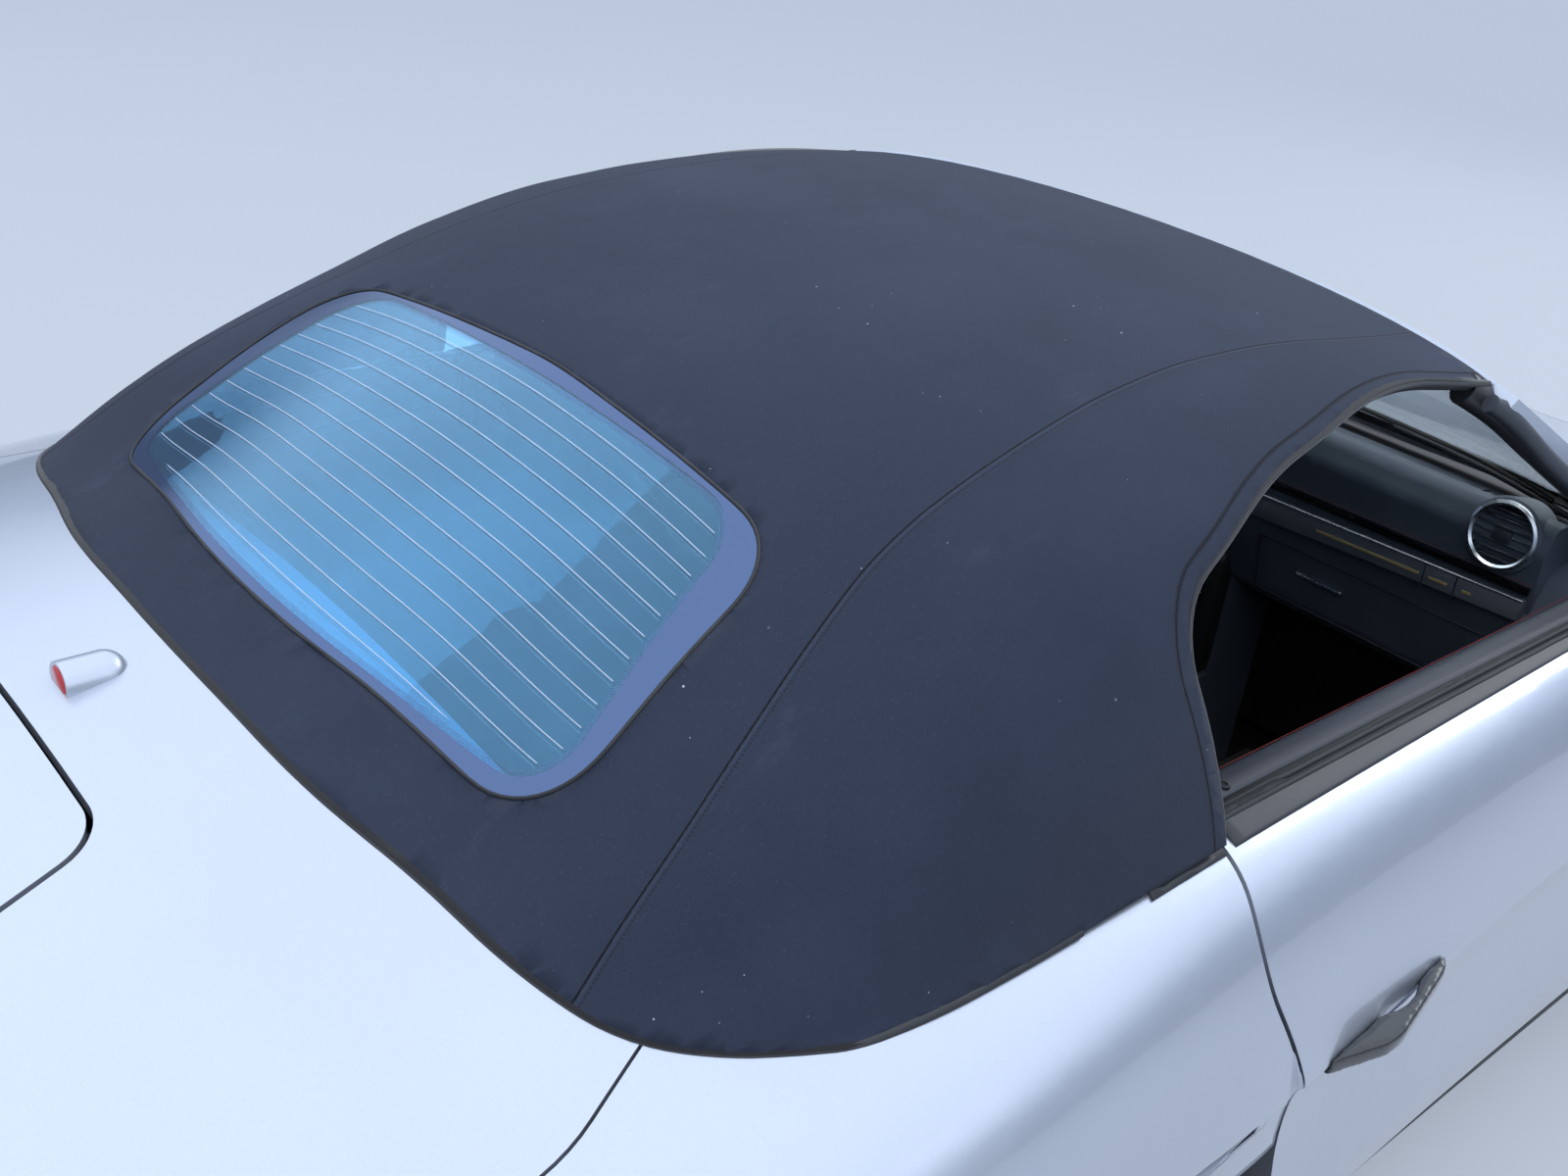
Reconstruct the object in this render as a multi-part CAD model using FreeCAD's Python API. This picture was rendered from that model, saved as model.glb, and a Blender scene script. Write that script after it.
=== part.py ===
# Two-seat, mid-engined convertible car with its fabric top up: silver body panels, black top,
# heated rear window, twin-spoke wheels, and doors, bonnet and boot lid that open.
# Units are millimetres. +X is the car's left, -Y its front, +Z up, with the origin on the
# floor under the middle of its bounding box.
import FreeCAD, Part
import math
import os

Vec = FreeCAD.Vector
OUT = "parts"
os.makedirs(OUT, exist_ok=True)

# Driving dimensions of the whole car
LENGTH = 4379.0
WHEELBASE = 2475.0
FRONT_OVERHANG = 862.0
FRONT_TRACK = 1515.0
REAR_TRACK = 1532.0

# Skins, gaps and clearances
SKIN = 12.0
FABRIC = 14.0
GLASS = 6.0
SHUT_GAP = 6.0
LID_GAP = 10.0
SEAT_GAP = 0.3
PIN_FIT = 0.1
RUN_GAP = 6.0
ARCH_GAP = 34.0
FAR = 3000.0

# Wheels, tyres and brakes
RIM_RADIUS = 241.0
RIM_FLANGE = 250.0
BARREL_WALL = 9.0
FRONT_TYRE_WIDTH = 235.0
FRONT_TYRE_RADIUS = 335.0
REAR_TYRE_WIDTH = 265.0
REAR_TYRE_RADIUS = 347.0
SPOKE_PAIRS = 5
HUB_RADIUS = 72.0
HUB_FACE = 52.0
HUB_DEPTH = 43.0
SPOKE_LEAN = 11.0
SPOKE_DEPTH = 28.0
SPOKE_WIDTH = 26.0
SPINDLE_RADIUS = 22.0
DISC_THICKNESS = 28.0
FRONT_DISC_RADIUS = 165.0
REAR_DISC_RADIUS = 150.0
KINGPIN_X = 725.0
KINGPIN_RADIUS = 11.0
LOWER_ARM_Z = 190.0
UPPER_ARM_Z = 480.0

# Where doors and lids turn
DOOR_AXIS_X = 826.0
DOOR_AXIS_F = 1612.0
DOOR_PIN_RADIUS = 6.0
HINGE_HEIGHTS = (330.0, 640.0)
HANDLE_REACH = 38.0
HANDLE_BAR = 13.0
HANDLE_HEIGHT = 24.0
HANDLE_REAR = 2581.0
HANDLE_FRONT = 2314.0
HANDLE_LOW = 630.0
DOOR_INNER_X = 724.0
DOOR_SWEEP_RADIUS = 87.0
HEADLAMP_DEPTH = 60.0
GRILLE_SETBACK = 5.0
GRILLE_BAR = 7.0
GRILLE_BAR_HEIGHTS = (270.0, 296.0, 322.0)
GRILLE_BAR_PLACES = (440.0, 480.0, 520.0, 560.0)
NUB_RADIUS = 25.0
NUB_FRONT = 3461.0
NUB_END = 3528.0
NUB_Z = 937.0
TAIL_LAMP_DEPTH = 50.0
HOOD_HINGE_X = 520.0
TRUNK_HINGE_X = 150.0
HOOD_AXIS_F = 1290.0
HOOD_AXIS_Z = 812.0
TRUNK_AXIS_F = 3508.0
TRUNK_AXIS_Z = 908.0
LID_PIN_RADIUS = 6.0
LID_ARM = 8.0
HINGE_LEAF = 12.0
HINGE_BAY_Z = 808.0
SILENCER_TOP = 350.0
TAILPIPE_X = 52.0
TAILPIPE_Z = 278.0
TAILPIPE_RADIUS = 38.0
TAILPIPE_BORE = 34.0

# Cabin: dashboard, steering wheel and the seats' widths
DASH_END_X = 655.0
DASH_PAD_X = 612.0
CONSOLE_X = 110.0
WHEEL_TILT = 24.0
STEERING_X = 370.0
STEERING_F = 1900.0
STEERING_Z = 770.0
STEERING_RADIUS = 176.0
STEERING_GRIP = 14.0
BOSS_RADIUS = 62.0
SPIGOT_RADIUS = 12.0
SEAT_INNER_X = 200.0
SEAT_OUTER_X = 540.0
BOLSTER_INNER_X = 130.0
BOLSTER_OUTER_X = 610.0

FRONT_AXLE = FRONT_OVERHANG
REAR_AXLE = FRONT_OVERHANG + WHEELBASE

# Jacking pads under the sills: f, x
JACK_PADS = ((1345, 690), (2780, 690))

# The lower body's sections, each at a distance f behind the nose. Columns: f, low_z and sill_x at
# the bottom edge, waist_x and waist_z at the crease, scoop by which the side is drawn in under it,
# shoulder_x and shoulder_z where the side turns in, crown_x and crown_z on the wing's top, inner_x
# and inner_z beside it, top_z on the centre line.
BODY_SECTIONS = (
    (0, 300, 240, 320, 400, 0, 285, 470, 215, 498, 110, 508, 510),
    (45, 240, 440, 545, 400, 0, 500, 495, 400, 532, 210, 543, 545),
    (150, 195, 610, 712, 405, 0, 672, 528, 565, 580, 320, 588, 588),
    (330, 165, 735, 818, 425, 0, 785, 585, 665, 652, 390, 634, 628),
    (570, 152, 795, 872, 480, 0, 842, 650, 712, 732, 430, 686, 672),
    (862, 150, 812, 890, 540, 0, 862, 700, 722, 782, 440, 736, 718),
    (1180, 150, 815, 882, 600, 6, 852, 742, 720, 838, 440, 810, 796),
    (1540, 150, 812, 870, 645, 18, 836, 780, 738, 882, 460, 880, 872),
    (2050, 150, 812, 875, 662, 26, 836, 796, 750, 888, 460, 905, 905),
    (2660, 150, 815, 899, 640, 34, 848, 802, 762, 890, 450, 925, 935),
    (3000, 150, 818, 900, 640, 8, 860, 806, 750, 884, 430, 935, 955),
    (3337, 155, 815, 900.5, 645, 0, 860, 804, 715, 868, 400, 934, 962),
    (3432, 158, 812, 898, 645, 0, 857, 800, 700, 862, 390, 929, 956),
    (3700, 170, 795, 888, 640, 0, 848, 782, 670, 846, 370, 886, 908),
    (4010, 200, 750, 850, 625, 0, 812, 752, 620, 826, 350, 854, 866),
    (4220, 228, 680, 788, 600, 0, 750, 715, 575, 800, 330, 830, 842),
    (4330, 250, 585, 690, 575, 0, 655, 665, 500, 752, 290, 784, 798),
    (4379, 275, 470, 560, 545, 0, 530, 620, 400, 682, 230, 718, 728),
)

# The fabric top's outer surface as curves from the windscreen header to its rear edge, from the
# belt up over the side to the roof's centre line. Each point is x, f, z.
TOP_CURVES = (
    ((700, 1990, 905), (735, 2250, 900), (757, 2500, 895), (768, 2720, 893), (768, 2834, 888),
     (766, 2970, 880), (761, 3090, 876), (742, 3184, 870)),
    ((668, 1992, 1055), (690, 2250, 1065), (712, 2500, 1050), (728, 2720, 1010), (732, 2900, 975),
     (728, 3040, 940), (720, 3160, 908), (703, 3266, 872)),
    ((612, 1996, 1186), (592, 2250, 1212), (612, 2500, 1196), (645, 2720, 1145), (655, 2900, 1080),
     (658, 3060, 1015), (658, 3190, 953), (659, 3321, 879)),
    ((440, 1976, 1222), (436, 2300, 1251), (450, 2600, 1236), (468, 2794, 1198), (500, 2970, 1130),
     (545, 3110, 1062), (580, 3210, 997), (608, 3352, 889)),
    ((290, 1966, 1235), (285, 2300, 1268), (290, 2600, 1258), (310, 2800, 1220), (350, 2990, 1156),
     (400, 3150, 1066), (440, 3279, 967), (480, 3394, 911)),
    ((150, 1960, 1241), (150, 2250, 1277), (150, 2600, 1266), (158, 2800, 1228), (175, 3020, 1160),
     (195, 3170, 1085), (215, 3322, 996), (228, 3425, 940)),
    ((0, 1958, 1243), (0, 2250, 1281), (0, 2600, 1270), (0, 2800, 1233), (0, 3022, 1165),
     (0, 3180, 1088), (0, 3331, 1002), (0, 3434, 948)),
)

# The windscreen's outer surface as curves from the cowl to the header, side to centre
SCREEN_CURVES = (
    ((728, 1470, 862), (716, 1550, 912), (664, 1780, 1065), (620, 1992, 1189)),
    ((600, 1400, 845), (594, 1500, 911), (545, 1750, 1080), (500, 1976, 1217)),
    ((350, 1305, 826), (345, 1420, 903), (320, 1700, 1092), (300, 1961, 1236)),
    ((0, 1262, 812), (0, 1400, 902), (0, 1690, 1098), (0, 1952, 1243)),
)

# Outlines of shut lines and openings: two plan or side coordinates and a corner radius
DOOR_OUTLINE = ((1552, 236, 60), (2530, 236, 130), (2576, 540, 300), (2700, 800, 130),
                (2668, 900, 0), (2668, 1000, 0), (1545, 1000, 0), (1541, 700, 300))
WINDOW_OPENING = ((1880, 780, 0), (2680, 780, 0), (2686, 930, 300), (2722, 1116, 75),
                  (2520, 1191, 600), (2219, 1227, 900), (1990, 1196, 0), (1880, 1150, 0))
REAR_GLASS = ((-424, 2996, 85), (0, 2978, 900), (424, 2996, 85), (464, 3296, 80),
              (0, 3352, 1500), (-464, 3296, 80))
SCREEN_GLASS = ((-672, 1502, 30), (-400, 1352, 500), (0, 1306, 900), (400, 1352, 500),
                (672, 1502, 30), (556, 1950, 45), (0, 1906, 1500), (-556, 1950, 45))
HOOD_OUTLINE = ((-330, 245, 60), (330, 245, 60), (478, 330, 120), (590, 640, 300),
                (628, 1235, 50), (-628, 1235, 50), (-590, 640, 300), (-478, 330, 120))
TRUNK_OUTLINE = ((-222, 3574, 55), (222, 3574, 55), (256, 3690, 150), (430, 3960, 300),
                 (500, 4190, 50), (-500, 4190, 50), (-430, 3960, 300), (-256, 3690, 150))
DECK_OUTLINE = ((-646, 3250, 0), (646, 3250, 0), (646, 3296, 60), (702, 3418, 200),
                (716, 3650, 600), (742, 4150, 0), (-742, 4150, 0), (-716, 3650, 600),
                (-702, 3418, 200), (-646, 3296, 60))
# The boot lid's goose neck, from its pin: it dips under the deck's rear edge, so that it swings up
# through the opening
NECK = ((7, 4), (42, -63), (78, -26), (82, 20), (98, 20), (94, -33), (38, -89), (-7, -4))
GRILLES = (((-300, 250, 25), (300, 250, 25), (330, 350, 25), (-330, 350, 25)),
           ((400, 262, 25), (590, 262, 25), (650, 400, 30), (420, 380, 25)))
HEADLAMP_OUTLINE = ((500, 175, 50), (650, 225, 70), (756, 470, 90), (748, 600, 40),
                    (640, 520, 120), (520, 330, 90))
TAIL_LAMP_OUTLINE = ((505, 735, 25), (640, 700, 60), (960, 700, 0), (960, 812, 0),
                     (640, 790, 60), (505, 775, 20))
# The dashboard's main form and its raised pad, and a seat's parts: side coordinates f and z
DASH_SIDE = ((1400, 560, 30), (1640, 600, 60), (1700, 790, 60), (1660, 868, 50), (1480, 862, 60),
             (1400, 845, 20))
DASH_PAD_SIDE = ((1560, 840, 0), (1606, 888, 60), (1652, 934, 30), (1694, 936, 22), (1712, 898, 30),
                 (1694, 800, 0), (1640, 800, 0))
SEAT_SIDE = ((2070, 300, 40), (2560, 262, 60), (2650, 400, 80), (2745, 870, 35), (2640, 870, 35),
             (2525, 455, 70), (2070, 440, 60))
HEAD_SIDE = ((2650, 800, 0), (2722, 800, 0), (2762, 1010, 30), (2700, 1050, 40), (2672, 1010, 30))
BOLSTER_SIDE = ((2090, 320, 40), (2500, 310, 0), (2610, 420, 0), (2680, 800, 30), (2600, 780, 40),
                (2500, 560, 80), (2420, 478, 60), (2090, 462, 30))


def y_at(f):
    """The Y of a place that lies f behind the nose."""
    return f - LENGTH / 2


def monotone(xs, ys, at):
    """A smooth value at a place between samples that never overshoots them."""
    last = len(xs) - 1
    i = 0
    while i < last - 1 and at > xs[i + 1]:
        i += 1
    steps = [xs[k + 1] - xs[k] for k in range(last)]
    slopes = [(ys[k + 1] - ys[k]) / steps[k] for k in range(last)]

    def tangent(k):
        if k == 0:
            return slopes[0]
        if k == last:
            return slopes[-1]
        before, after = slopes[k - 1], slopes[k]
        if before * after <= 0:
            return 0.0
        w1 = 2 * steps[k] + steps[k - 1]
        w2 = steps[k] + 2 * steps[k - 1]
        return (w1 + w2) / (w1 / before + w2 / after)

    h = steps[i]
    t = (at - xs[i]) / h
    return (ys[i] * (1 + 2 * t) * (1 - t) ** 2 + tangent(i) * h * t * (1 - t) ** 2
            + ys[i + 1] * t * t * (3 - 2 * t) + tangent(i + 1) * h * t * t * (t - 1))


def resampled(points, count):
    """Points at equal shares of the length of a smooth curve through some points."""
    run = [0.0]
    for a, b in zip(points, points[1:]):
        run.append(run[-1] + (b - a).Length)
    columns = [[p.x for p in points], [p.y for p in points], [p.z for p in points]]
    places = [run[-1] * k / (count - 1) for k in range(count)]
    return [Vec(*(monotone(run, column, place) for column in columns)) for place in places]


def refined(points, pieces):
    """The points with smooth ones put between them, the same number in each span."""
    run = [0.0]
    for a, b in zip(points, points[1:]):
        run.append(run[-1] + (b - a).Length)
    columns = [[p.x for p in points], [p.y for p in points], [p.z for p in points]]
    places = []
    for a, b in zip(run, run[1:]):
        places += [a + (b - a) * k / pieces for k in range(pieces)]
    places.append(run[-1])
    return [Vec(*(monotone(run, column, place) for column in columns)) for place in places]


def inset_grid(grid, depth):
    """The grid moved inwards by depth along its own normals."""
    rows, cols = len(grid), len(grid[0])
    moved = []
    for i in range(rows):
        line = []
        for j in range(cols):
            along = grid[min(i + 1, rows - 1)][j] - grid[max(i - 1, 0)][j]
            across = grid[i][min(j + 1, cols - 1)] - grid[i][max(j - 1, 0)]
            normal = across.cross(along)
            normal.normalize()
            line.append(grid[i][j] - normal * depth)
        moved.append(line)
    return moved


def surface(grid):
    """A smooth surface drawn by a grid of poles."""
    made = Part.BSplineSurface()
    rows, cols = len(grid), len(grid[0])
    knots = [[float(k) for k in range(n - 2)] for n in (rows, cols)]
    mults = [[4] + [1] * (n - 4) + [4] for n in (rows, cols)]
    made.buildFromPolesMultsKnots(grid, mults[0], mults[1], knots[0], knots[1],
                                  False, False, 3, 3)
    return made


def closed_solid(faces):
    shell = Part.makeShell(faces)
    shell.sewShape()
    if shell.ShapeType != "Shell":
        shell = shell.Shells[0]
    solid = Part.makeSolid(shell)
    if solid.Volume < 0:
        solid.reverse()
    return solid


def belly_solid(grid):
    """A solid under a surface whose rows end at its two bottom edges."""
    surf = surface(grid)
    u0, u1, v0, v1 = surf.bounds()
    faces = [surf.toShape(),
             Part.makeRuledSurface(surf.vIso(v0).toShape(), surf.vIso(v1).toShape())]
    for u, row in ((u0, grid[0]), (u1, grid[-1])):
        chord = Part.makeLine(row[0], row[-1])
        faces.append(Part.Face(Part.Wire([surf.uIso(u).toShape(), chord])))
    return closed_solid(faces)


def thick_sheet(grid, depth, lift=0.0):
    """A solid of even thickness under a surface."""
    outer = surface(inset_grid(grid, -lift) if lift else grid)
    inner = surface(inset_grid(grid, depth))
    faces = [outer.toShape(), inner.toShape()]
    u0, u1, v0, v1 = outer.bounds()
    for a, b in ((outer.uIso(u0), inner.uIso(u0)), (outer.uIso(u1), inner.uIso(u1)),
                 (outer.vIso(v0), inner.vIso(v0)), (outer.vIso(v1), inner.vIso(v1))):
        faces.append(Part.makeRuledSurface(a.toShape(), b.toShape()))
    return closed_solid(faces)


def side_points(row):
    """Half a body section, from the bottom edge up to the centre line, as (x, z)."""
    f, low_z, sill_x, waist_x, waist_z, scoop, sh_x, sh_z, cr_x, cr_z, in_x, in_z, top_z = row
    rise = waist_z - low_z
    low_side = ((sill_x + 4 * waist_x) / 5, low_z + rise * 0.36)
    hollow = (waist_x - scoop - 3, low_z + rise * 0.7)
    under_crease = (waist_x - scoop / 3 - 2, waist_z - 14)
    return [(sill_x, low_z), low_side, hollow, under_crease, (waist_x, waist_z), (sh_x, sh_z),
            (cr_x, cr_z), (in_x, in_z), (0, top_z)]


def body_rows():
    """The section table with smooth rows put between its own."""
    run = [0.0]
    for a, b in zip(BODY_SECTIONS, BODY_SECTIONS[1:]):
        run.append(run[-1] + math.hypot(b[0] - a[0], b[3] - a[3]))
    columns = list(zip(*BODY_SECTIONS))
    places = []
    for a, b in zip(run, run[1:]):
        places += [a, (a + b) / 2]
    places.append(run[-1])
    return [[monotone(run, column, place) for column in columns] for place in places]


def body_grid(depth):
    """The lower body's grid of poles, inset by depth."""
    grid = []
    for row in body_rows():
        right = [Vec(-x, y_at(row[0]), z) for x, z in side_points(row)]
        left = [Vec(-p.x, p.y, p.z) for p in reversed(right[:-1])]
        grid.append(refined(right + left, 2))
    if depth == 0:
        return grid
    grid = inset_grid(grid, depth)
    for k in range(len(grid[0])):
        grid[0][k].y = y_at(depth)
        grid[-1][k].y = y_at(LENGTH - depth)
    return grid


def curve_grid(curves, rows):
    """A full-width grid from curves given for one side and the centre line."""
    lines = [resampled([Vec(-x, y_at(f), z) for x, f, z in curve], rows) for curve in curves]
    grid = []
    for k in range(rows):
        right = [line[k] for line in lines]
        left = [Vec(-p.x, p.y, p.z) for p in reversed(right[:-1])]
        grid.append(refined(right + left, 3))
    return grid


def outline_face(points, place):
    """A face bounded by straight lines with rounded corners, put in space by place(u, v)."""
    spots = [Vec(u, v, 0) for u, v, radius in points]
    count = len(points)
    ends = []
    for i in range(count):
        here = spots[i]
        radius = points[i][2]
        if radius == 0:
            ends.append((here, None, here))
            continue
        a = spots[i - 1] - here
        b = spots[(i + 1) % count] - here
        a.normalize()
        b.normalize()
        half = a.getAngle(b) / 2
        reach = radius / math.tan(half)
        middle = a + b
        middle.normalize()
        ends.append((here + a * reach, here + middle * (radius / math.sin(half) - radius),
                     here + b * reach))
    edges = []
    for i in range(count):
        start, through, end = (p and place(p.x, p.y) for p in ends[i])
        if through:
            edges.append(Part.Arc(start, through, end).toShape())
        ahead = ends[(i + 1) % count][0]
        ahead = place(ahead.x, ahead.y)
        if (ahead - end).Length > 1e-6:
            edges.append(Part.makeLine(end, ahead))
    return Part.Face(Part.Wire(edges))


def side_prism(points, x0, x1):
    """An outline in f and z carried sideways from x0 to x1."""
    return outline_face(points, lambda f, z: Vec(x0, y_at(f), z)).extrude(Vec(x1 - x0, 0, 0))


def plan_prism(points, z0, z1):
    """An outline in x and f carried up from z0 to z1."""
    return outline_face(points, lambda x, f: Vec(x, y_at(f), z0)).extrude(Vec(0, 0, z1 - z0))


def end_prism(points, f0, f1):
    """An outline in x and z carried back from f0 to f1."""
    return outline_face(points, lambda x, z: Vec(x, y_at(f0), z)).extrude(Vec(0, f1 - f0, 0))


def block(x0, x1, f0, f1, z0, z1):
    return Part.makeBox(x1 - x0, f1 - f0, z1 - z0, Vec(x0, y_at(f0), z0))


def cylinder(radius, start, end):
    along = end - start
    return Part.makeCylinder(radius, along.Length, start, along)


def mirrored(shape):
    return shape.mirror(Vec(0, 0, 0), Vec(1, 0, 0))


def both(shape):
    return shape.fuse(mirrored(shape))


def grown(points, gap):
    """An outline pushed out by gap, its corners kept."""
    spots = [Vec(u, v, 0) for u, v, radius in points]
    area = sum(a.x * b.y - b.x * a.y for a, b in zip(spots, spots[1:] + spots[:1]))
    turn = 1 if area > 0 else -1
    count = len(points)
    moved = []
    for i in range(count):
        a = spots[i] - spots[i - 1]
        b = spots[(i + 1) % count] - spots[i]
        a.normalize()
        b.normalize()
        out_a = Vec(a.y * turn, -a.x * turn, 0)
        out_b = Vec(b.y * turn, -b.x * turn, 0)
        middle = out_a + out_b
        middle.normalize()
        place = spots[i] + middle * (gap / max(middle.dot(out_a), 0.3))
        radius = points[i][2]
        moved.append((place.x, place.y, max(radius + gap, 1.0) if radius else 0))
    return moved


def one_solid(shape):
    """The biggest solid of a cut, for trims that leave crumbs."""
    return max(shape.Solids, key=lambda solid: solid.Volume)


def save(name, shape):
    solid = shape if shape.ShapeType == "Solid" else one_solid(shape)
    solid.exportStep(OUT + "/" + name + ".step")


# Shared bodies: the closed outer form, the form inside the skins and the one the frame fills
OUTER = belly_solid(body_grid(0))
INNER = belly_solid(body_grid(SKIN))
CORE = belly_solid(body_grid(SKIN + SEAT_GAP))
PROUD = belly_solid(body_grid(-SEAT_GAP))
SHELL = OUTER.cut(INNER)

# Regions cut from the shell and the frame
DOOR_HOLE = both(side_prism(grown(DOOR_OUTLINE, SHUT_GAP), 700, FAR))
HOOD_HOLE = plan_prism(grown(HOOD_OUTLINE, SHUT_GAP), 400, 1500)
TRUNK_HOLE = plan_prism(grown(TRUNK_OUTLINE, SHUT_GAP), 640, 1500)
CABIN_TOP = block(-722, 722, 1480, 2760, 560, 1500)
ARCHES = both(cylinder(FRONT_TYRE_RADIUS + ARCH_GAP, Vec(440, y_at(FRONT_AXLE), FRONT_TYRE_RADIUS),
                       Vec(1000, y_at(FRONT_AXLE), FRONT_TYRE_RADIUS)))
ARCHES = ARCHES.fuse(both(cylinder(REAR_TYRE_RADIUS + ARCH_GAP,
                                   Vec(590, y_at(REAR_AXLE), REAR_TYRE_RADIUS),
                                   Vec(1000, y_at(REAR_AXLE), REAR_TYRE_RADIUS))))
HEADLAMP_HOLE = both(plan_prism(grown(HEADLAMP_OUTLINE, 2), 470, 800))
TAIL_LAMP_HOLE = both(end_prism(grown(TAIL_LAMP_OUTLINE, 2), 4085, 4500))

# Outer panels
front_zone = side_prism(((-50, 100, 0), (508, 100, 0), (508, 560, 0), (330, 900, 0), (-50, 900, 0)),
                        -FAR, FAR)
grille_holes = end_prism(GRILLES[0], -50, 200).fuse(both(end_prism(GRILLES[1], -50, 330)))
# Grille bars stay between the slots, level in the middle and upright outside, and are set back
bars = [block(-400, 400, -60, 200, z, z + GRILLE_BAR) for z in GRILLE_BAR_HEIGHTS]
bars += [both(block(x, x + GRILLE_BAR, -60, 340, 240, 420)) for x in GRILLE_BAR_PLACES]
grille_slots = grille_holes
for bar in bars:
    grille_slots = grille_slots.cut(bar)
grille_recess = grille_holes.common(OUTER).cut(belly_solid(body_grid(GRILLE_SETBACK)))
front_bumper = SHELL.common(front_zone)
for hole in (HOOD_HOLE, HEADLAMP_HOLE, grille_slots, grille_recess, ARCHES):
    front_bumper = front_bumper.cut(hole)
save("front_bumper", front_bumper)

fender_zone = block(0, FAR, 300, 1560, 100, 1000).cut(front_zone).cut(block(0, FAR, 1240, 1600, 0, 230))
fender = SHELL.common(fender_zone.common(block(600, FAR, 300, 1560, 0, 1000).fuse(
    block(440, FAR, 300, 1235, 500, 1000))))
for hole in (HOOD_HOLE, HEADLAMP_HOLE, DOOR_HOLE, ARCHES, CABIN_TOP):
    fender = fender.cut(hole)
fender = one_solid(fender.cut(block(0, 722, 1244, 1600, 0, 1000)))
# Its rear edge is relieved on the inside where the door's front edge swings past, and low down
fender = fender.cut(cylinder(DOOR_SWEEP_RADIUS, Vec(DOOR_AXIS_X, y_at(DOOR_AXIS_F), 300),
                             Vec(DOOR_AXIS_X, y_at(DOOR_AXIS_F), 900)))
fender = one_solid(fender.cut(side_prism(grown(DOOR_OUTLINE, SHUT_GAP + 3), 700, FAR).common(
    block(700, FAR, 1500, 1700, 200, 300))))
save("fender_left", fender)
save("fender_right", mirrored(fender))

rear_edge = ((3740, 100, 0), (4500, 100, 0), (4500, 690, 0), (3740, 660, 0))
rear_low = side_prism(rear_edge, -FAR, FAR)
rear_high = block(-FAR, FAR, 4190, 4500, 600, 1000)
outlet_hole = end_prism(((-190, 225, 25), (190, 225, 25), (190, 330, 35), (-190, 330, 35)), 4200, 4500)
rear_bumper = SHELL.common(rear_low.fuse(rear_high))
for hole in (ARCHES, TAIL_LAMP_HOLE, TRUNK_HOLE, outlet_hole):
    rear_bumper = rear_bumper.cut(hole)
save("rear_bumper", rear_bumper)

deck_zone = plan_prism(DECK_OUTLINE, 700, 1200)
quarter_zone = block(640, FAR, 2660, 3800, 232, 1000).fuse(block(640, FAR, 3740, 4190, 640, 1000))
intake = side_prism(((2655, 330, 10), (2790, 350, 60), (2730, 590, 60), (2655, 610, 10)), 790, FAR)
quarter = SHELL.common(quarter_zone)
for hole in (DOOR_HOLE, ARCHES, rear_low, rear_high, TAIL_LAMP_HOLE, intake, CABIN_TOP,
             plan_prism(grown(DECK_OUTLINE, 3), 700, 1200)):
    quarter = quarter.cut(hole)
quarter = one_solid(quarter)
save("quarter_left", quarter)
save("quarter_right", mirrored(quarter))

rear_deck = SHELL.common(deck_zone)
for hole in (TRUNK_HOLE, rear_high, TAIL_LAMP_HOLE):
    rear_deck = rear_deck.cut(hole)
# The high brake light stands on it as half a bullet, its flat end to the rear
nub = Part.makeSphere(NUB_RADIUS, Vec(0, y_at(NUB_FRONT + NUB_RADIUS), NUB_Z)).fuse(
    cylinder(NUB_RADIUS, Vec(0, y_at(NUB_FRONT + NUB_RADIUS), NUB_Z), Vec(0, y_at(NUB_END), NUB_Z)))
save("rear_deck", one_solid(rear_deck.fuse(nub.cut(INNER))))

# Doors, as thick as the car's side
door = OUTER.common(side_prism(DOOR_OUTLINE, DOOR_INNER_X, FAR))
door = door.cut(INNER.common(block(0, FAR, 1500, DOOR_AXIS_F + 30, 0, 1000)))
door = door.cut(block(0, 860, 2640, 2700, 0, 1000).common(INNER))
lugs = []
straps = []
for z in HINGE_HEIGHTS:
    for low in (z - 22, z + 8 + SEAT_GAP):
        lugs.append(block(DOOR_AXIS_X - 12, DOOR_AXIS_X + 10, DOOR_AXIS_F, DOOR_AXIS_F + 34,
                          low, low + 14 - SEAT_GAP))
        lugs.append(cylinder(11, Vec(DOOR_AXIS_X, y_at(DOOR_AXIS_F), low),
                             Vec(DOOR_AXIS_X, y_at(DOOR_AXIS_F), low + 14 - SEAT_GAP)))
    straps.append(block(718, DOOR_AXIS_X, DOOR_AXIS_F - 10, DOOR_AXIS_F + 10, z - 8, z + 8))
    straps.append(cylinder(11, Vec(DOOR_AXIS_X, y_at(DOOR_AXIS_F), z - 8),
                           Vec(DOOR_AXIS_X, y_at(DOOR_AXIS_F), z + 8)))
    straps.append(cylinder(DOOR_PIN_RADIUS, Vec(DOOR_AXIS_X, y_at(DOOR_AXIS_F), z - 22),
                           Vec(DOOR_AXIS_X, y_at(DOOR_AXIS_F), z + 22)))
door_bore = cylinder(DOOR_PIN_RADIUS + PIN_FIT, Vec(DOOR_AXIS_X, y_at(DOOR_AXIS_F), 200),
                     Vec(DOOR_AXIS_X, y_at(DOOR_AXIS_F), 720))
door = one_solid(door.multiFuse(lugs).cut(door_bore))
# The handle is a bow that stands out from the crease, with a finger gap and a shallow cup behind
handle_recess = side_prism(((HANDLE_FRONT + 34, 606, 24), (HANDLE_REAR - 72, 596, 24),
                            (HANDLE_REAR - 72, 648, 20), (HANDLE_FRONT + 34, 664, 20)), 858, FAR)
door = one_solid(door.cut(handle_recess))
save("door_left", door)
save("door_right", mirrored(door))


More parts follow.
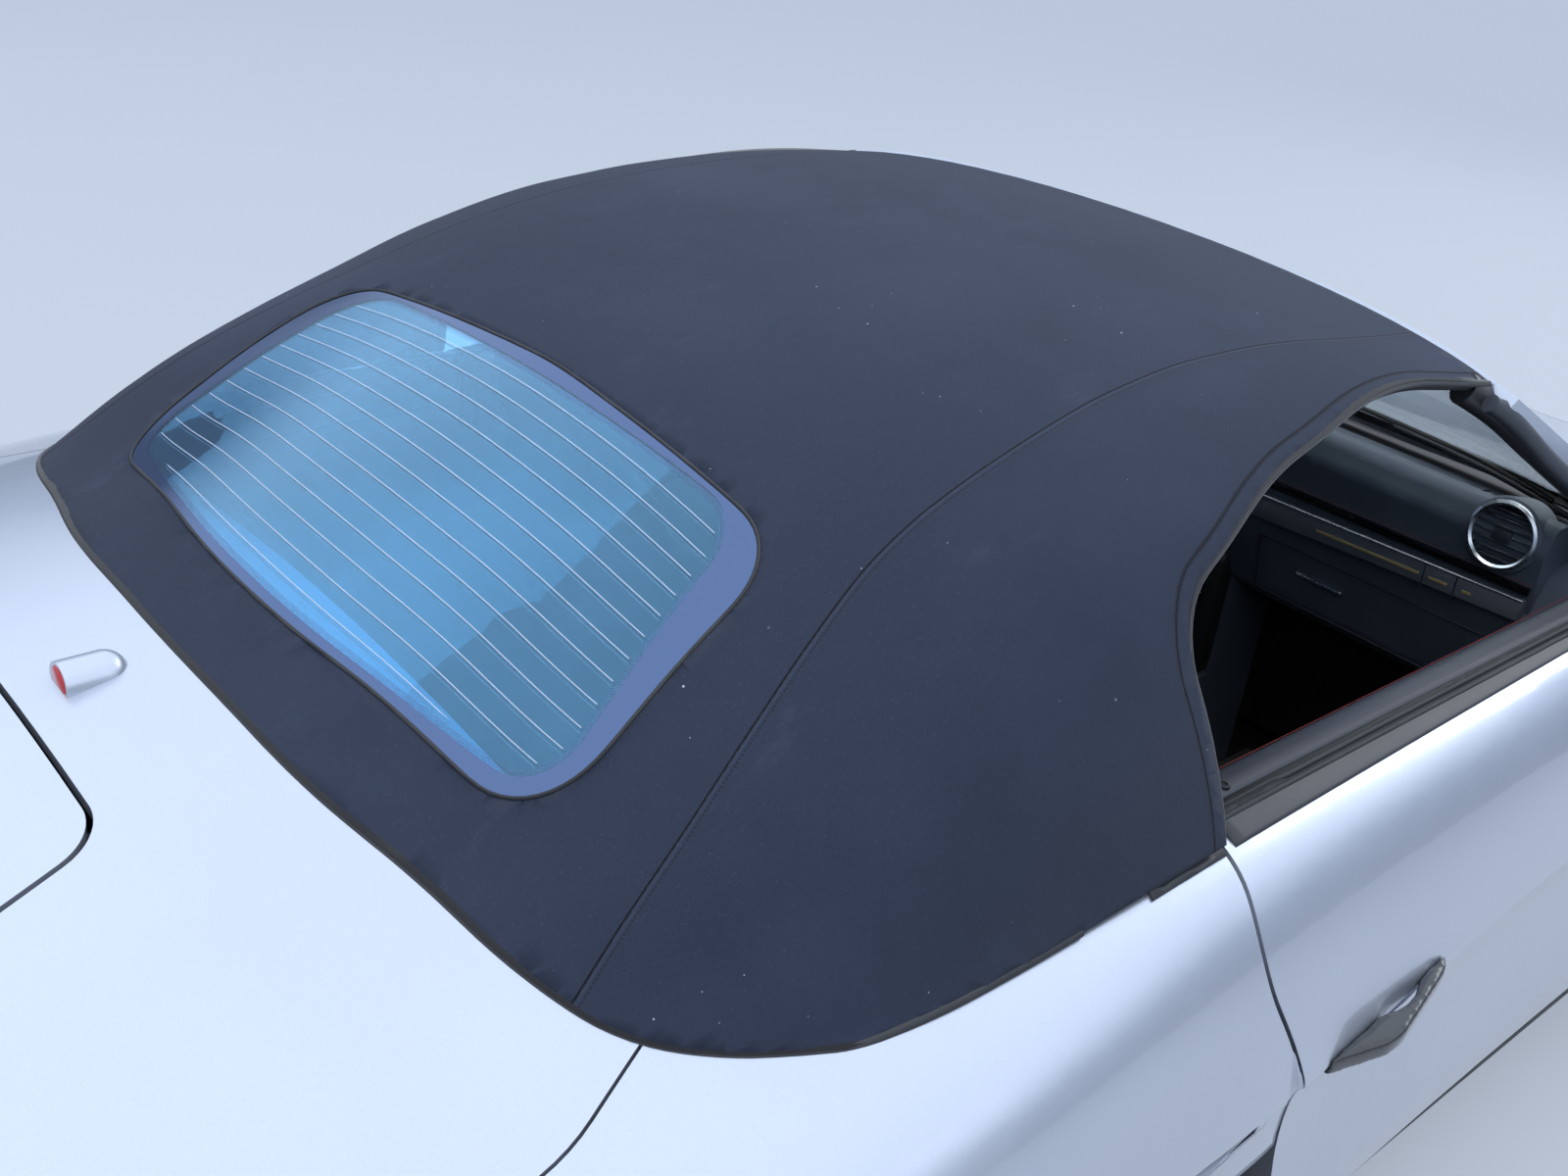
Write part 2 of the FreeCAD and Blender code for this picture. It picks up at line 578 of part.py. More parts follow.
def handle_leaf(inset, rear, front):
    """The bow's outline from above, drawn in by inset, from its rear to its front end."""
    reach = 876 + HANDLE_REACH - inset
    return ((850, rear, 0), (894 - inset, rear, 4), (reach + 9, rear - 88, 90),
            (reach - 18, front + 40, 60), (866 - inset, front, 4), (850, front, 0))


handle = plan_prism(handle_leaf(0, HANDLE_REAR, HANDLE_FRONT), 0, HANDLE_HEIGHT).cut(
    plan_prism(handle_leaf(HANDLE_BAR, HANDLE_REAR - 78, HANDLE_FRONT + 34), -1, HANDLE_HEIGHT + 1))
handle.translate(Vec(0, 0, HANDLE_LOW))
handle.rotate(Vec(870, y_at(HANDLE_REAR), HANDLE_LOW), Vec(1, 0, 0), -5)
handle = one_solid(handle.cut(PROUD))
save("door_handle_left", handle)
save("door_handle_right", mirrored(handle))

mirror_foot = block(770, 800, 1650, 1720, 840, 930)
mirror_arm = block(775, 850, 1665, 1705, 905, 930)
mirror_head = end_prism(((800, 905, 30), (985, 915, 40), (970, 1020, 50), (815, 1025, 40)), 1640, 1740)
mirror = one_solid(mirror_foot.fuse(mirror_arm).fuse(mirror_head).cut(PROUD))
save("mirror_left", mirror)
save("mirror_right", mirrored(mirror))

# Bonnet and boot lid with goose-neck arms to pins under the panels beside them
hood = one_solid(SHELL.common(plan_prism(HOOD_OUTLINE, 400, 1500)).cut(
    block(-FAR, FAR, 1225 + LID_GAP, 1500, 0, 1500)))
hood_arms = []
for x in (-HOOD_HINGE_X, HOOD_HINGE_X):
    hood_arms.append(block(x - LID_ARM, x + LID_ARM, 1150, HOOD_AXIS_F, HOOD_AXIS_Z - 12, HOOD_AXIS_Z + 4))
    hood_arms.append(cylinder(12, Vec(x - LID_ARM, y_at(HOOD_AXIS_F), HOOD_AXIS_Z),
                              Vec(x + LID_ARM, y_at(HOOD_AXIS_F), HOOD_AXIS_Z)))
hood_bore = cylinder(LID_PIN_RADIUS + PIN_FIT, Vec(-600, y_at(HOOD_AXIS_F), HOOD_AXIS_Z),
                     Vec(600, y_at(HOOD_AXIS_F), HOOD_AXIS_Z))
hood = one_solid(hood.multiFuse([arm.common(OUTER) for arm in hood_arms]).cut(hood_bore))
save("hood", hood)

trunk = one_solid(SHELL.common(plan_prism(TRUNK_OUTLINE, 700, 1500)))
neck_outline = [(TRUNK_AXIS_F + f, TRUNK_AXIS_Z + z, 0) for f, z in NECK]
trunk_arms = []
for x in (-TRUNK_HINGE_X, TRUNK_HINGE_X):
    trunk_arms.append(side_prism(neck_outline, x - LID_ARM, x + LID_ARM))
    trunk_arms.append(cylinder(12, Vec(x - LID_ARM, y_at(TRUNK_AXIS_F), TRUNK_AXIS_Z),
                               Vec(x + LID_ARM, y_at(TRUNK_AXIS_F), TRUNK_AXIS_Z)))
trunk_bore = cylinder(LID_PIN_RADIUS + PIN_FIT, Vec(-300, y_at(TRUNK_AXIS_F), TRUNK_AXIS_Z),
                      Vec(300, y_at(TRUNK_AXIS_F), TRUNK_AXIS_Z))
trunk = one_solid(trunk.multiFuse([arm.common(OUTER) for arm in trunk_arms]).cut(trunk_bore))
save("trunk_lid", trunk)

# Lamps
headlamp = one_solid(OUTER.common(plan_prism(HEADLAMP_OUTLINE, 440, 800)).cut(
    belly_solid(body_grid(HEADLAMP_DEPTH))))
save("headlamp_left", headlamp)
save("headlamp_right", mirrored(headlamp))
tail_lamp = one_solid(OUTER.common(end_prism(TAIL_LAMP_OUTLINE, 4089, 4500)).cut(
    belly_solid(body_grid(TAIL_LAMP_DEPTH))))
save("tail_lamp_left", tail_lamp)
save("tail_lamp_right", mirrored(tail_lamp))

# Frame: floor with sills, front and rear structure round the luggage bays and the wheels
floor_zone = block(-FAR, FAR, 1244, 2950, 0, 228)
floor_pan = OUTER.common(floor_zone)
floor_pan = floor_pan.cut(block(-640, 640, 1330, 2740, 190, 400))
floor_pan = floor_pan.cut(ARCHES)
jack_pads = [cylinder(34, Vec(x, y_at(f), 140), Vec(x, y_at(f), 170)) for f, x in JACK_PADS]
floor_pan = floor_pan.multiFuse(jack_pads + [mirrored(pad) for pad in jack_pads])
save("floor_pan", floor_pan)

headlamp_space = both(plan_prism(grown(HEADLAMP_OUTLINE, 2), 440, 900)).cut(
    belly_solid(body_grid(HEADLAMP_DEPTH + SEAT_GAP)))
tail_lamp_space = both(end_prism(grown(TAIL_LAMP_OUTLINE, 2), 4085, 4500)).cut(
    belly_solid(body_grid(TAIL_LAMP_DEPTH + SEAT_GAP)))
front_structure = CORE.common(block(-FAR, FAR, 60, 1244, 0, 1500).fuse(
    block(-FAR, FAR, 1244, 1500, 228, 1500)))
front_bay = block(-400, 400, 330, 1100, 262, 1500)
arm_slot = block(-440, 440, FRONT_AXLE - 60 - SEAT_GAP, FRONT_AXLE + 60 + SEAT_GAP, 100, 212 + SEAT_GAP)
arm_slot = arm_slot.fuse(both(block(404 - SEAT_GAP, 440, FRONT_AXLE - 40 - SEAT_GAP,
                                    FRONT_AXLE + 40 + SEAT_GAP, 100, 495 + SEAT_GAP)))
for hole in (front_bay, arm_slot, ARCHES, headlamp_space,
             block(-660, 660, 1400 - SEAT_GAP, 1600, 228, 1500),
             both(block(715, FAR, 1440, 1600, 200, 1500)), both(block(400, 700, 1130, 1320, 740, 1500)),
             block(-400, 400, 1100, 1230, 740, 1500)):
    front_structure = front_structure.cut(hole)
hinge_post = block(662, 722, 1400, 1632, 228, 720)
post = [hinge_post] + straps
front_structure = front_structure.multiFuse(post + [mirrored(piece) for piece in post])
hood_hinges = []
for x in (-HOOD_HINGE_X, HOOD_HINGE_X):
    for side in (-1, 1):
        cx = x + side * (LID_ARM + SEAT_GAP + HINGE_LEAF / 2)
        hood_hinges.append(block(cx - HINGE_LEAF / 2, cx + HINGE_LEAF / 2, HOOD_AXIS_F - 12, 1325,
                                 HOOD_AXIS_Z - 60, HOOD_AXIS_Z + 6))
    hood_hinges.append(cylinder(LID_PIN_RADIUS, Vec(x - 20, y_at(HOOD_AXIS_F), HOOD_AXIS_Z),
                                Vec(x + 20, y_at(HOOD_AXIS_F), HOOD_AXIS_Z)))
front_structure = front_structure.multiFuse([piece.common(CORE) for piece in hood_hinges])
save("front_structure", front_structure)

rear_structure = CORE.common(block(-FAR, FAR, 2760, 2950, 228, 1500).fuse(
    block(-FAR, FAR, 2950, 4330, 0, 1500)))
engine_bay = block(-420, 420, 2820, 3470, 228, 720)
rear_bay = block(-470, 470, 3640, 4110, 420, 1500)
for hole in (engine_bay, rear_bay, ARCHES, block(-640, 640, 2700, 3240, 850, 1500),
             tail_lamp_space, outlet_hole,
             block(-200, 200, 4000, 4500, 200, SILENCER_TOP + SEAT_GAP),
             block(-200, 200, 3480, 3640, HINGE_BAY_Z, 1500),
             both(side_prism(grown(DOOR_OUTLINE, 16), 640, FAR))):
    rear_structure = rear_structure.cut(hole)
trunk_hinges = []
for x in (-TRUNK_HINGE_X, TRUNK_HINGE_X):
    for side in (-1, 1):
        cx = x + side * (LID_ARM + SEAT_GAP + HINGE_LEAF / 2)
        trunk_hinges.append(block(cx - HINGE_LEAF / 2, cx + HINGE_LEAF / 2, 3475, TRUNK_AXIS_F + 12,
                                  HINGE_BAY_Z - 5, TRUNK_AXIS_Z + 6))
    trunk_hinges.append(cylinder(LID_PIN_RADIUS, Vec(x - 20, y_at(TRUNK_AXIS_F), TRUNK_AXIS_Z),
                                 Vec(x + 20, y_at(TRUNK_AXIS_F), TRUNK_AXIS_Z)))
rear_structure = rear_structure.multiFuse([piece.common(CORE) for piece in trunk_hinges])
save("rear_structure", rear_structure)
save("engine_block", block(-300, 300, 2850, 3430, 228 + SEAT_GAP, 680))

silencer = block(-190, 190, 4010, 4215, 246, SILENCER_TOP)
pipes = (-TAILPIPE_X, TAILPIPE_X)
exhaust = silencer.multiFuse([cylinder(TAILPIPE_RADIUS, Vec(x, y_at(4200), TAILPIPE_Z),
                                       Vec(x, y_at(4372), TAILPIPE_Z)) for x in pipes])
for x in pipes:
    exhaust = exhaust.cut(cylinder(TAILPIPE_BORE, Vec(x, y_at(4250), TAILPIPE_Z),
                                   Vec(x, y_at(4500), TAILPIPE_Z)))
save("exhaust", exhaust)

# Fabric top, rear window and windscreen
top_grid = curve_grid(TOP_CURVES, 16)
top_sheet = thick_sheet(top_grid, FABRIC)
soft_top = top_sheet.cut(PROUD)
window_hole = both(side_prism(WINDOW_OPENING, 520, FAR))
soft_top = soft_top.cut(window_hole).cut(plan_prism(REAR_GLASS, 900, 1400))
soft_top = one_solid(soft_top)
save("soft_top", soft_top)
rear_window = thick_sheet(top_grid, GLASS).common(plan_prism(grown(REAR_GLASS, -SEAT_GAP), 900, 1400))
save("rear_window", rear_window)

screen_grid = curve_grid(SCREEN_CURVES, 10)
frame = thick_sheet(screen_grid, 30).cut(PROUD).cut(plan_prism(SCREEN_GLASS, 700, 1400))
frame = frame.cut(both(block(722, FAR, 1400, 2100, 0, 1500)))
frame = one_solid(frame.cut(top_sheet).cut(top_sheet.translated(Vec(0, -SEAT_GAP, 0))))
save("windshield_frame", frame)
screen = thick_sheet(screen_grid, GLASS).common(plan_prism(grown(SCREEN_GLASS, -SEAT_GAP), 700, 1400))
save("windshield_glass", screen.cut(PROUD))

# Cabin: dashboard with column and console, seats, steering wheel
dash = side_prism(DASH_SIDE, -DASH_END_X, DASH_END_X)
dash = dash.fuse(side_prism(DASH_PAD_SIDE, -DASH_PAD_X, DASH_PAD_X))
console = block(-CONSOLE_X, CONSOLE_X, 1500, 2660, 190 + SEAT_GAP, 420)
riser = block(-CONSOLE_X, CONSOLE_X, 1500, 1640, 400, 640)
wheel_centre = Vec(STEERING_X, y_at(STEERING_F), STEERING_Z)
column_axis = Vec(0, -math.cos(math.radians(WHEEL_TILT)), -math.sin(math.radians(WHEEL_TILT)))
column = cylinder(34, wheel_centre + column_axis * 60, wheel_centre + column_axis * 300)
spigot = cylinder(SPIGOT_RADIUS, wheel_centre - column_axis * 10, wheel_centre + column_axis * 100)
dash = one_solid(dash.fuse(console).fuse(riser).fuse(column).fuse(spigot))
save("dashboard", dash)

ring_spots = [math.radians(30 * k) for k in range(12)]
ring_wire = Part.makePolygon([Vec(STEERING_RADIUS + STEERING_GRIP * math.cos(a), 0,
                                  STEERING_GRIP * math.sin(a))
                              for a in ring_spots + ring_spots[:1]])
ring = Part.Face(ring_wire).revolve(Vec(0, 0, 0), Vec(0, 0, 1), 360)
ring.Placement = FreeCAD.Placement(wheel_centre, FreeCAD.Rotation(Vec(0, 0, 1), column_axis))
boss = cylinder(BOSS_RADIUS, wheel_centre - column_axis * 12, wheel_centre + column_axis * 40)
spokes = []
for turn in (0, 120, 240):
    spoke = Part.makeBox(172, 30, 12, Vec(0, -15, -6))
    spoke.Placement = FreeCAD.Placement(wheel_centre, FreeCAD.Rotation(
        Vec(1, 0, 0), -column_axis.cross(Vec(1, 0, 0)), column_axis, "ZXY"))
    spokes.append(spoke.rotate(wheel_centre, column_axis, turn + 90) or spoke)
steering = ring.fuse(boss).multiFuse(spokes)
steering = steering.cut(cylinder(SPIGOT_RADIUS + PIN_FIT, wheel_centre - column_axis * 30,
                                 wheel_centre + column_axis * 100))
save("steering_wheel", steering)

# Each seat: cushion and backrest in one, raised bolsters beside them and a narrower head restraint
seat = side_prism(SEAT_SIDE, SEAT_INNER_X, SEAT_OUTER_X)
for piece in (side_prism(HEAD_SIDE, 250, 490), side_prism(BOLSTER_SIDE, BOLSTER_INNER_X, SEAT_INNER_X),
              side_prism(BOLSTER_SIDE, SEAT_OUTER_X, BOLSTER_OUTER_X),
              block(220, 520, 2130, 2520, 190 + SEAT_GAP, 330)):
    seat = seat.fuse(piece)
save("seat_left", seat)
save("seat_right", mirrored(seat))


def ring_profile(profile, centre_x):
    """A body turned about an axle from (x, radius) points."""
    wire = Part.makePolygon([Vec(x, 0, r) for x, r in profile + profile[:1]])
    solid = Part.Face(wire).revolve(Vec(0, 0, 0), Vec(1, 0, 0), 360)
    solid.translate(Vec(centre_x, 0, 0))
    return solid


def tyre(width, radius):
    half = width / 2
    return ring_profile([(-half + 9, RIM_RADIUS + SEAT_GAP), (-half + 9, RIM_FLANGE + SEAT_GAP),
                         (-half, RIM_RADIUS + 40),
                         (-half + 7, radius - 16), (-half + 26, radius),
                         (half - 26, radius), (half - 7, radius - 16),
                         (half, RIM_RADIUS + 40), (half - 9, RIM_FLANGE + SEAT_GAP),
                         (half - 9, RIM_RADIUS + SEAT_GAP)], 0)


def rim(width, disc_radius, hub_face):
    """Rim, spokes, hub and brake disc of a left wheel, its middle at x = 0."""
    half = width / 2 - 9
    barrel = ring_profile([(-half - 8, RIM_FLANGE), (-half - 8, RIM_RADIUS - BARREL_WALL),
                           (half + 8, RIM_RADIUS - BARREL_WALL), (half + 8, RIM_FLANGE),
                           (half + SEAT_GAP, RIM_FLANGE), (half + SEAT_GAP, RIM_RADIUS),
                           (-half - SEAT_GAP, RIM_RADIUS), (-half - SEAT_GAP, RIM_FLANGE)], 0)
    parts = [cylinder(HUB_RADIUS, Vec(hub_face, 0, 0), Vec(hub_face + HUB_DEPTH, 0, 0)),
             cylinder(disc_radius, Vec(hub_face - 10 - DISC_THICKNESS, 0, 0), Vec(hub_face - 10, 0, 0)),
             cylinder(HUB_RADIUS + 8, Vec(hub_face - 10, 0, 0), Vec(hub_face, 0, 0))]
    for pair in range(SPOKE_PAIRS):
        for lean in (-SPOKE_LEAN, SPOKE_LEAN):
            angle = 360.0 * pair / SPOKE_PAIRS + lean
            spoke = Part.makeBox(SPOKE_DEPTH, SPOKE_WIDTH, RIM_RADIUS - 60,
                                 Vec(hub_face + 17, -SPOKE_WIDTH / 2, 55))
            spoke.rotate(Vec(0, 0, 0), Vec(1, 0, 0), angle)
            parts.append(spoke)
    whole = barrel.multiFuse(parts)
    whole = whole.common(cylinder(RIM_FLANGE + 5, Vec(-200, 0, 0), Vec(200, 0, 0)))
    whole = whole.cut(cylinder(SPINDLE_RADIUS + PIN_FIT, Vec(hub_face - 90, 0, 0),
                               Vec(hub_face + 24, 0, 0)))
    return whole


# Each axle: its place, track, tyre and disc sizes
AXLES = (("front", FRONT_AXLE, FRONT_TRACK, FRONT_TYRE_WIDTH, FRONT_TYRE_RADIUS, FRONT_DISC_RADIUS),
         ("rear", REAR_AXLE, REAR_TRACK, REAR_TYRE_WIDTH, REAR_TYRE_RADIUS, REAR_DISC_RADIUS))
for end, axle_f, track, width, radius, disc_radius in AXLES:
    centre = Vec(track / 2, y_at(axle_f), radius)
    for name, made in (("tyre", tyre(width, radius)), ("wheel", rim(width, disc_radius, HUB_FACE))):
        made.translate(centre)
        save("%s_%s_left" % (name, end), made)
        save("%s_%s_right" % (name, end), mirrored(made))


def knuckle(centre, disc_radius, king_x):
    """Upright, spindle and brake caliper of a left wheel."""
    face = centre.x + HUB_FACE
    disc_in = face - 10 - DISC_THICKNESS
    upright = block(king_x - 22, disc_in - RUN_GAP, 0, 60, LOWER_ARM_Z + 12, UPPER_ARM_Z - 12)
    upright.translate(Vec(0, centre.y - y_at(30), 0))
    spindle = cylinder(SPINDLE_RADIUS, Vec(disc_in - 20, centre.y, centre.z),
                       Vec(face + 20, centre.y, centre.z))
    caliper = ring_profile([(disc_in - 30, disc_radius - 55), (disc_in - 30, disc_radius + 26),
                            (face + 10, disc_radius + 26), (face + 10, disc_radius - 55)], 0)
    caliper = caliper.common(Part.makeBox(400, 90, 170, Vec(centre.x - 200, disc_radius - 70, -85)))
    slot = cylinder(disc_radius + RUN_GAP, Vec(disc_in - RUN_GAP, 0, 0),
                    Vec(face - 10 + RUN_GAP, 0, 0))
    caliper = caliper.cut(slot)
    bracket = Part.makeBox(disc_in - RUN_GAP - king_x + 10, disc_radius - 20, 60,
                           Vec(king_x - 10, 10, -30)).cut(slot)
    caliper = caliper.fuse(bracket)
    caliper.translate(Vec(0, centre.y, centre.z))
    return upright.multiFuse([spindle, caliper])


front_centre = Vec(FRONT_TRACK / 2, y_at(FRONT_AXLE), FRONT_TYRE_RADIUS)
king_low = Vec(KINGPIN_X, front_centre.y, LOWER_ARM_Z - 12)
king_high = Vec(KINGPIN_X, front_centre.y, UPPER_ARM_Z + 12)
front_knuckle = knuckle(front_centre, FRONT_DISC_RADIUS, KINGPIN_X)
front_knuckle = front_knuckle.fuse(cylinder(KINGPIN_RADIUS, king_low, king_high))
save("knuckle_front_left", front_knuckle)
save("knuckle_front_right", mirrored(front_knuckle))

arms = [block(-430, 430, FRONT_AXLE - 60, FRONT_AXLE + 60, 168, 212)]
for z in (LOWER_ARM_Z, UPPER_ARM_Z):
    arm = block(404, KINGPIN_X, FRONT_AXLE - 16, FRONT_AXLE + 16, z - 11, z + 11)
    arm = arm.fuse(cylinder(24, Vec(KINGPIN_X, front_centre.y, z - 11),
                            Vec(KINGPIN_X, front_centre.y, z + 11)))
    arm = arm.cut(cylinder(KINGPIN_RADIUS + PIN_FIT, king_low - Vec(0, 0, 5), king_high + Vec(0, 0, 5)))
    arms.append(both(arm))
arms.append(both(block(404, 430, FRONT_AXLE - 40, FRONT_AXLE + 40, 190, 495)))
front_suspension = arms[0].multiFuse(arms[1:])
save("front_suspension", front_suspension)

rear_centre = Vec(REAR_TRACK / 2, y_at(REAR_AXLE), REAR_TYRE_RADIUS)
carrier = knuckle(rear_centre, REAR_DISC_RADIUS, 740)
carrier = carrier.fuse(block(590.3, 725, REAR_AXLE - 20, REAR_AXLE + 20, 200, 230))
carrier = carrier.fuse(block(590.3, 725, REAR_AXLE - 20, REAR_AXLE + 20, 440, 470))
save("rear_suspension_left", carrier)
save("rear_suspension_right", mirrored(carrier))
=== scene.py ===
import math

import bmesh
import bpy
from mathutils import Matrix, Vector, noise
from mathutils.bvhtree import BVHTree


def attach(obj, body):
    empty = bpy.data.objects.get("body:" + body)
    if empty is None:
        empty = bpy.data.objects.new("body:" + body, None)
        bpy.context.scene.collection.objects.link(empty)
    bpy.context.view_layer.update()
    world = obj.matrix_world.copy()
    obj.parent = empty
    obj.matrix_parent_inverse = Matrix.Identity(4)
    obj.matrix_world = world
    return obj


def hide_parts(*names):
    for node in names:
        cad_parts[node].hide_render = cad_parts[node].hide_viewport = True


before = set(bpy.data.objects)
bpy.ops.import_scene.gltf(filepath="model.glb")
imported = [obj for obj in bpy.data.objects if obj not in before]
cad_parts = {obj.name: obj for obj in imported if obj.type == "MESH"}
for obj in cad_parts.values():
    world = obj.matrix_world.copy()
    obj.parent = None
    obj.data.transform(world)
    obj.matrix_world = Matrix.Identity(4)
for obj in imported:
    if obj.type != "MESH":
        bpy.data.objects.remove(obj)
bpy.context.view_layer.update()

bl_info = {
    "name": "Convertible car",
    "version": (1, 0, 0),
    "blender": (4, 5, 0),
    "location": "3D View > Sidebar > Convertible",
    "description": "Dresses a two-seat convertible with paint, fabric top, glass, cabin and wheels",
    "category": "Add Mesh",
}

NOSE_Y = -2.1895
SIDES = (("left", 1), ("right", -1))
ACROSS, BACK, UP = Vector((1, 0, 0)), Vector((0, 1, 0)), Vector((0, 0, 1))

# Axles: name, distance behind the nose, tyre radius, tyre width, middle of the tyre across
AXLES = (("front", 862, 335, 235, 757.5), ("rear", 3337, 347, 265, 766))

# The side seam of the top, from its rear edge to the header: x, f, z
SIDE_SEAM = ((601, 3347, 896), (582, 3280, 947), (565, 3210, 997), (543, 3135, 1047),
             (514, 3049, 1095), (489, 2972, 1132), (479, 2929, 1150), (471, 2874, 1172),
             (464, 2790, 1197), (457, 2701, 1219), (447, 2601, 1235), (439, 2460, 1246),
             (444, 2320, 1249), (457, 2173, 1240), (462, 2060, 1228), (458, 1972, 1217))

# The top's bows behind the nose, between which the cloth sinks
BOWS = (1940, 2475, 2960, 3470)

# Seal and lining along a screen pillar: x, f, z
PILLAR_SEAL = ((710, 1500, 866), (702, 1600, 920), (681, 1700, 981), (657, 1800, 1040),
               (636, 1900, 1101), (622, 1960, 1144), (610, 1994, 1168), (598, 2016, 1180))
PILLAR_LINING = ((684, 1500, 880), (676, 1600, 934), (653, 1700, 995), (629, 1800, 1054),
                 (607, 1900, 1115), (592, 1960, 1154), (574, 1994, 1174), (560, 2016, 1186))

# The photograph's camera: place in metres, yaw, pitch and roll in radians, focal length in pixels
CAMERA_PLACE = (-1.408, 1.747, 1.818)
CAMERA_TURN = (0.808, 0.484, 0.118)
FOCAL_PIXELS, PHOTO_WIDTH = 1665.0, 1600.0
FLOOR_RADIUS = 40.0


def at(x, f, z):
    """A place given in millimetres: across, behind the nose and up."""
    return Vector((x / 1000, f / 1000 + NOSE_Y, z / 1000))


# Shader sums and finishes

def rule(operation, reflected=False):
    """A method of a sum that adds one Math node."""
    def method(self, *others):
        return self.math(operation, *((*others, self) if reflected else (self, *others)))
    return method


class Sum:
    """A number socket of a finish, so that patterns are written as plain arithmetic."""

    def __init__(self, finish, socket):
        self.finish = finish
        self.socket = socket

    def math(self, operation, *values):
        made = self.finish.node("Math", {"operation": operation}, dict(enumerate(values)))
        return Sum(self.finish, made.outputs[0])

    __add__, __radd__ = rule("ADD"), rule("ADD", True)
    __sub__, __rsub__ = rule("SUBTRACT"), rule("SUBTRACT", True)
    __mul__, __rmul__ = rule("MULTIPLY"), rule("MULTIPLY", True)
    __truediv__, __rtruediv__ = rule("DIVIDE"), rule("DIVIDE", True)
    __pow__, __rpow__ = rule("POWER"), rule("POWER", True)
    over, under = rule("GREATER_THAN"), rule("LESS_THAN")
    least, most = rule("MINIMUM"), rule("MAXIMUM")
    fraction, sine, size, angle = rule("FRACT"), rule("SINE"), rule("ABSOLUTE"), rule("ARCTAN2")

    def eased(self, low, high):
        """0 below low, 1 above high and smooth between."""
        made = self.finish.node("MapRange", {"interpolation_type": "SMOOTHSTEP"},
                                {"Value": self, "From Min": low, "From Max": high})
        return Sum(self.finish, made.outputs["Result"])


class Finish:
    """A material under way: its tree, its main shader and the patterns that it reads."""

    def __init__(self, name, colour, roughness, metallic=0.0, coat=0.0):
        self.material = bpy.data.materials.new(name)
        self.material.use_nodes = True
        self.material.diffuse_color = (*colour, 1.0)
        self.tree = self.material.node_tree
        self.shader = self.tree.nodes["Principled BSDF"]
        self.output = self.tree.nodes["Material Output"]
        self.set("Base Color", (*colour, 1.0))
        self.set("Roughness", roughness)
        self.set("Metallic", metallic)
        self.set("Coat Weight", coat)
        self.place = self.node("TexCoord").outputs["Object"]

    def node(self, kind, settings=None, sockets=None):
        """A node by its kind, its settings, then the values or links of its sockets."""
        made = self.tree.nodes.new("ShaderNode" + kind)
        for name, value in (settings or {}).items():
            setattr(made, name, value)
        for name, value in (sockets or {}).items():
            self.feed(made.inputs[name], value)
        return made

    def feed(self, socket, value):
        if isinstance(value, Sum):
            value = value.socket
        if isinstance(value, bpy.types.NodeSocket):
            self.tree.links.new(value, socket)
        else:
            socket.default_value = value

    def set(self, socket, value):
        self.feed(self.shader.inputs[socket], value)

    def axis(self, name):
        made = self.node("SeparateXYZ", None, {0: self.place})
        return Sum(self, made.outputs[name])

    def attribute(self, name):
        made = self.node("Attribute", {"attribute_name": name})
        return Sum(self, made.outputs["Fac"])

    def stretched(self, stretch):
        if stretch is None:
            return self.place
        return self.node("Mapping", None, {"Vector": self.place, "Scale": stretch}).outputs[0]

    def noise(self, scale, detail=3.0, roughness=0.5, stretch=None):
        made = self.node("TexNoise", None, {
            "Vector": self.stretched(stretch), "Scale": scale, "Detail": detail,
            "Roughness": roughness})
        return Sum(self, made.outputs["Fac"])

    def cells(self, scale, feature="F1", output="Distance"):
        made = self.node("TexVoronoi", {"feature": feature},
                         {"Vector": self.place, "Scale": scale})
        return Sum(self, made.outputs[output])

    def dots(self, pitch):
        """Printed dots on a slanting grid of a pitch in metres."""
        x, f = self.axis("X").size(), self.axis("Y") - NOSE_Y
        return ((x + f) / pitch).fraction().under(0.5) * ((x - f) / pitch).fraction().under(0.5)

    def clouded(self, scale, detail, low, high, amount, other):
        """Tints the finish in soft patches."""
        self.tint(self.noise(scale, detail=detail).eased(low, high) * amount, other)

    def tint(self, amount, other):
        """Mixes the colour so far with another one, by a sum from 0 to 1."""
        base = self.shader.inputs["Base Color"]
        before = base.links[0].from_socket if base.is_linked else tuple(base.default_value)
        mixed = self.node("Mix", {"data_type": "RGBA"}, {0: amount, 6: before, 7: (*other, 1.0)})
        self.set("Base Color", mixed.outputs[2])

    def bump(self, height, distance, strength=1.0):
        """Adds a height over the bumps so far, its distance in metres."""
        normal = self.shader.inputs["Normal"]
        sockets = {"Height": height, "Distance": distance, "Strength": strength}
        if normal.is_linked:
            sockets["Normal"] = normal.links[0].from_socket
        self.set("Normal", self.node("Bump", None, sockets).outputs["Normal"])

    def overlaid(self, mask, colour, roughness, **values):
        """Covers the finish where a mask is 1 with a second plain shader."""
        sockets = {"Base Color": (*colour, 1.0), "Roughness": roughness}
        sockets.update({name.replace("_", " "): value for name, value in values.items()})
        second = self.node("BsdfPrincipled", None, sockets)
        first = self.output.inputs["Surface"].links[0].from_socket
        mixed = self.node("MixShader", None, {0: mask, 1: first, 2: second.outputs[0]})
        self.feed(self.output.inputs["Surface"], mixed.outputs[0])


def lighter(colour, times, plus=0.0):
    return tuple(min(c * times + plus, 1.0) for c in colour)


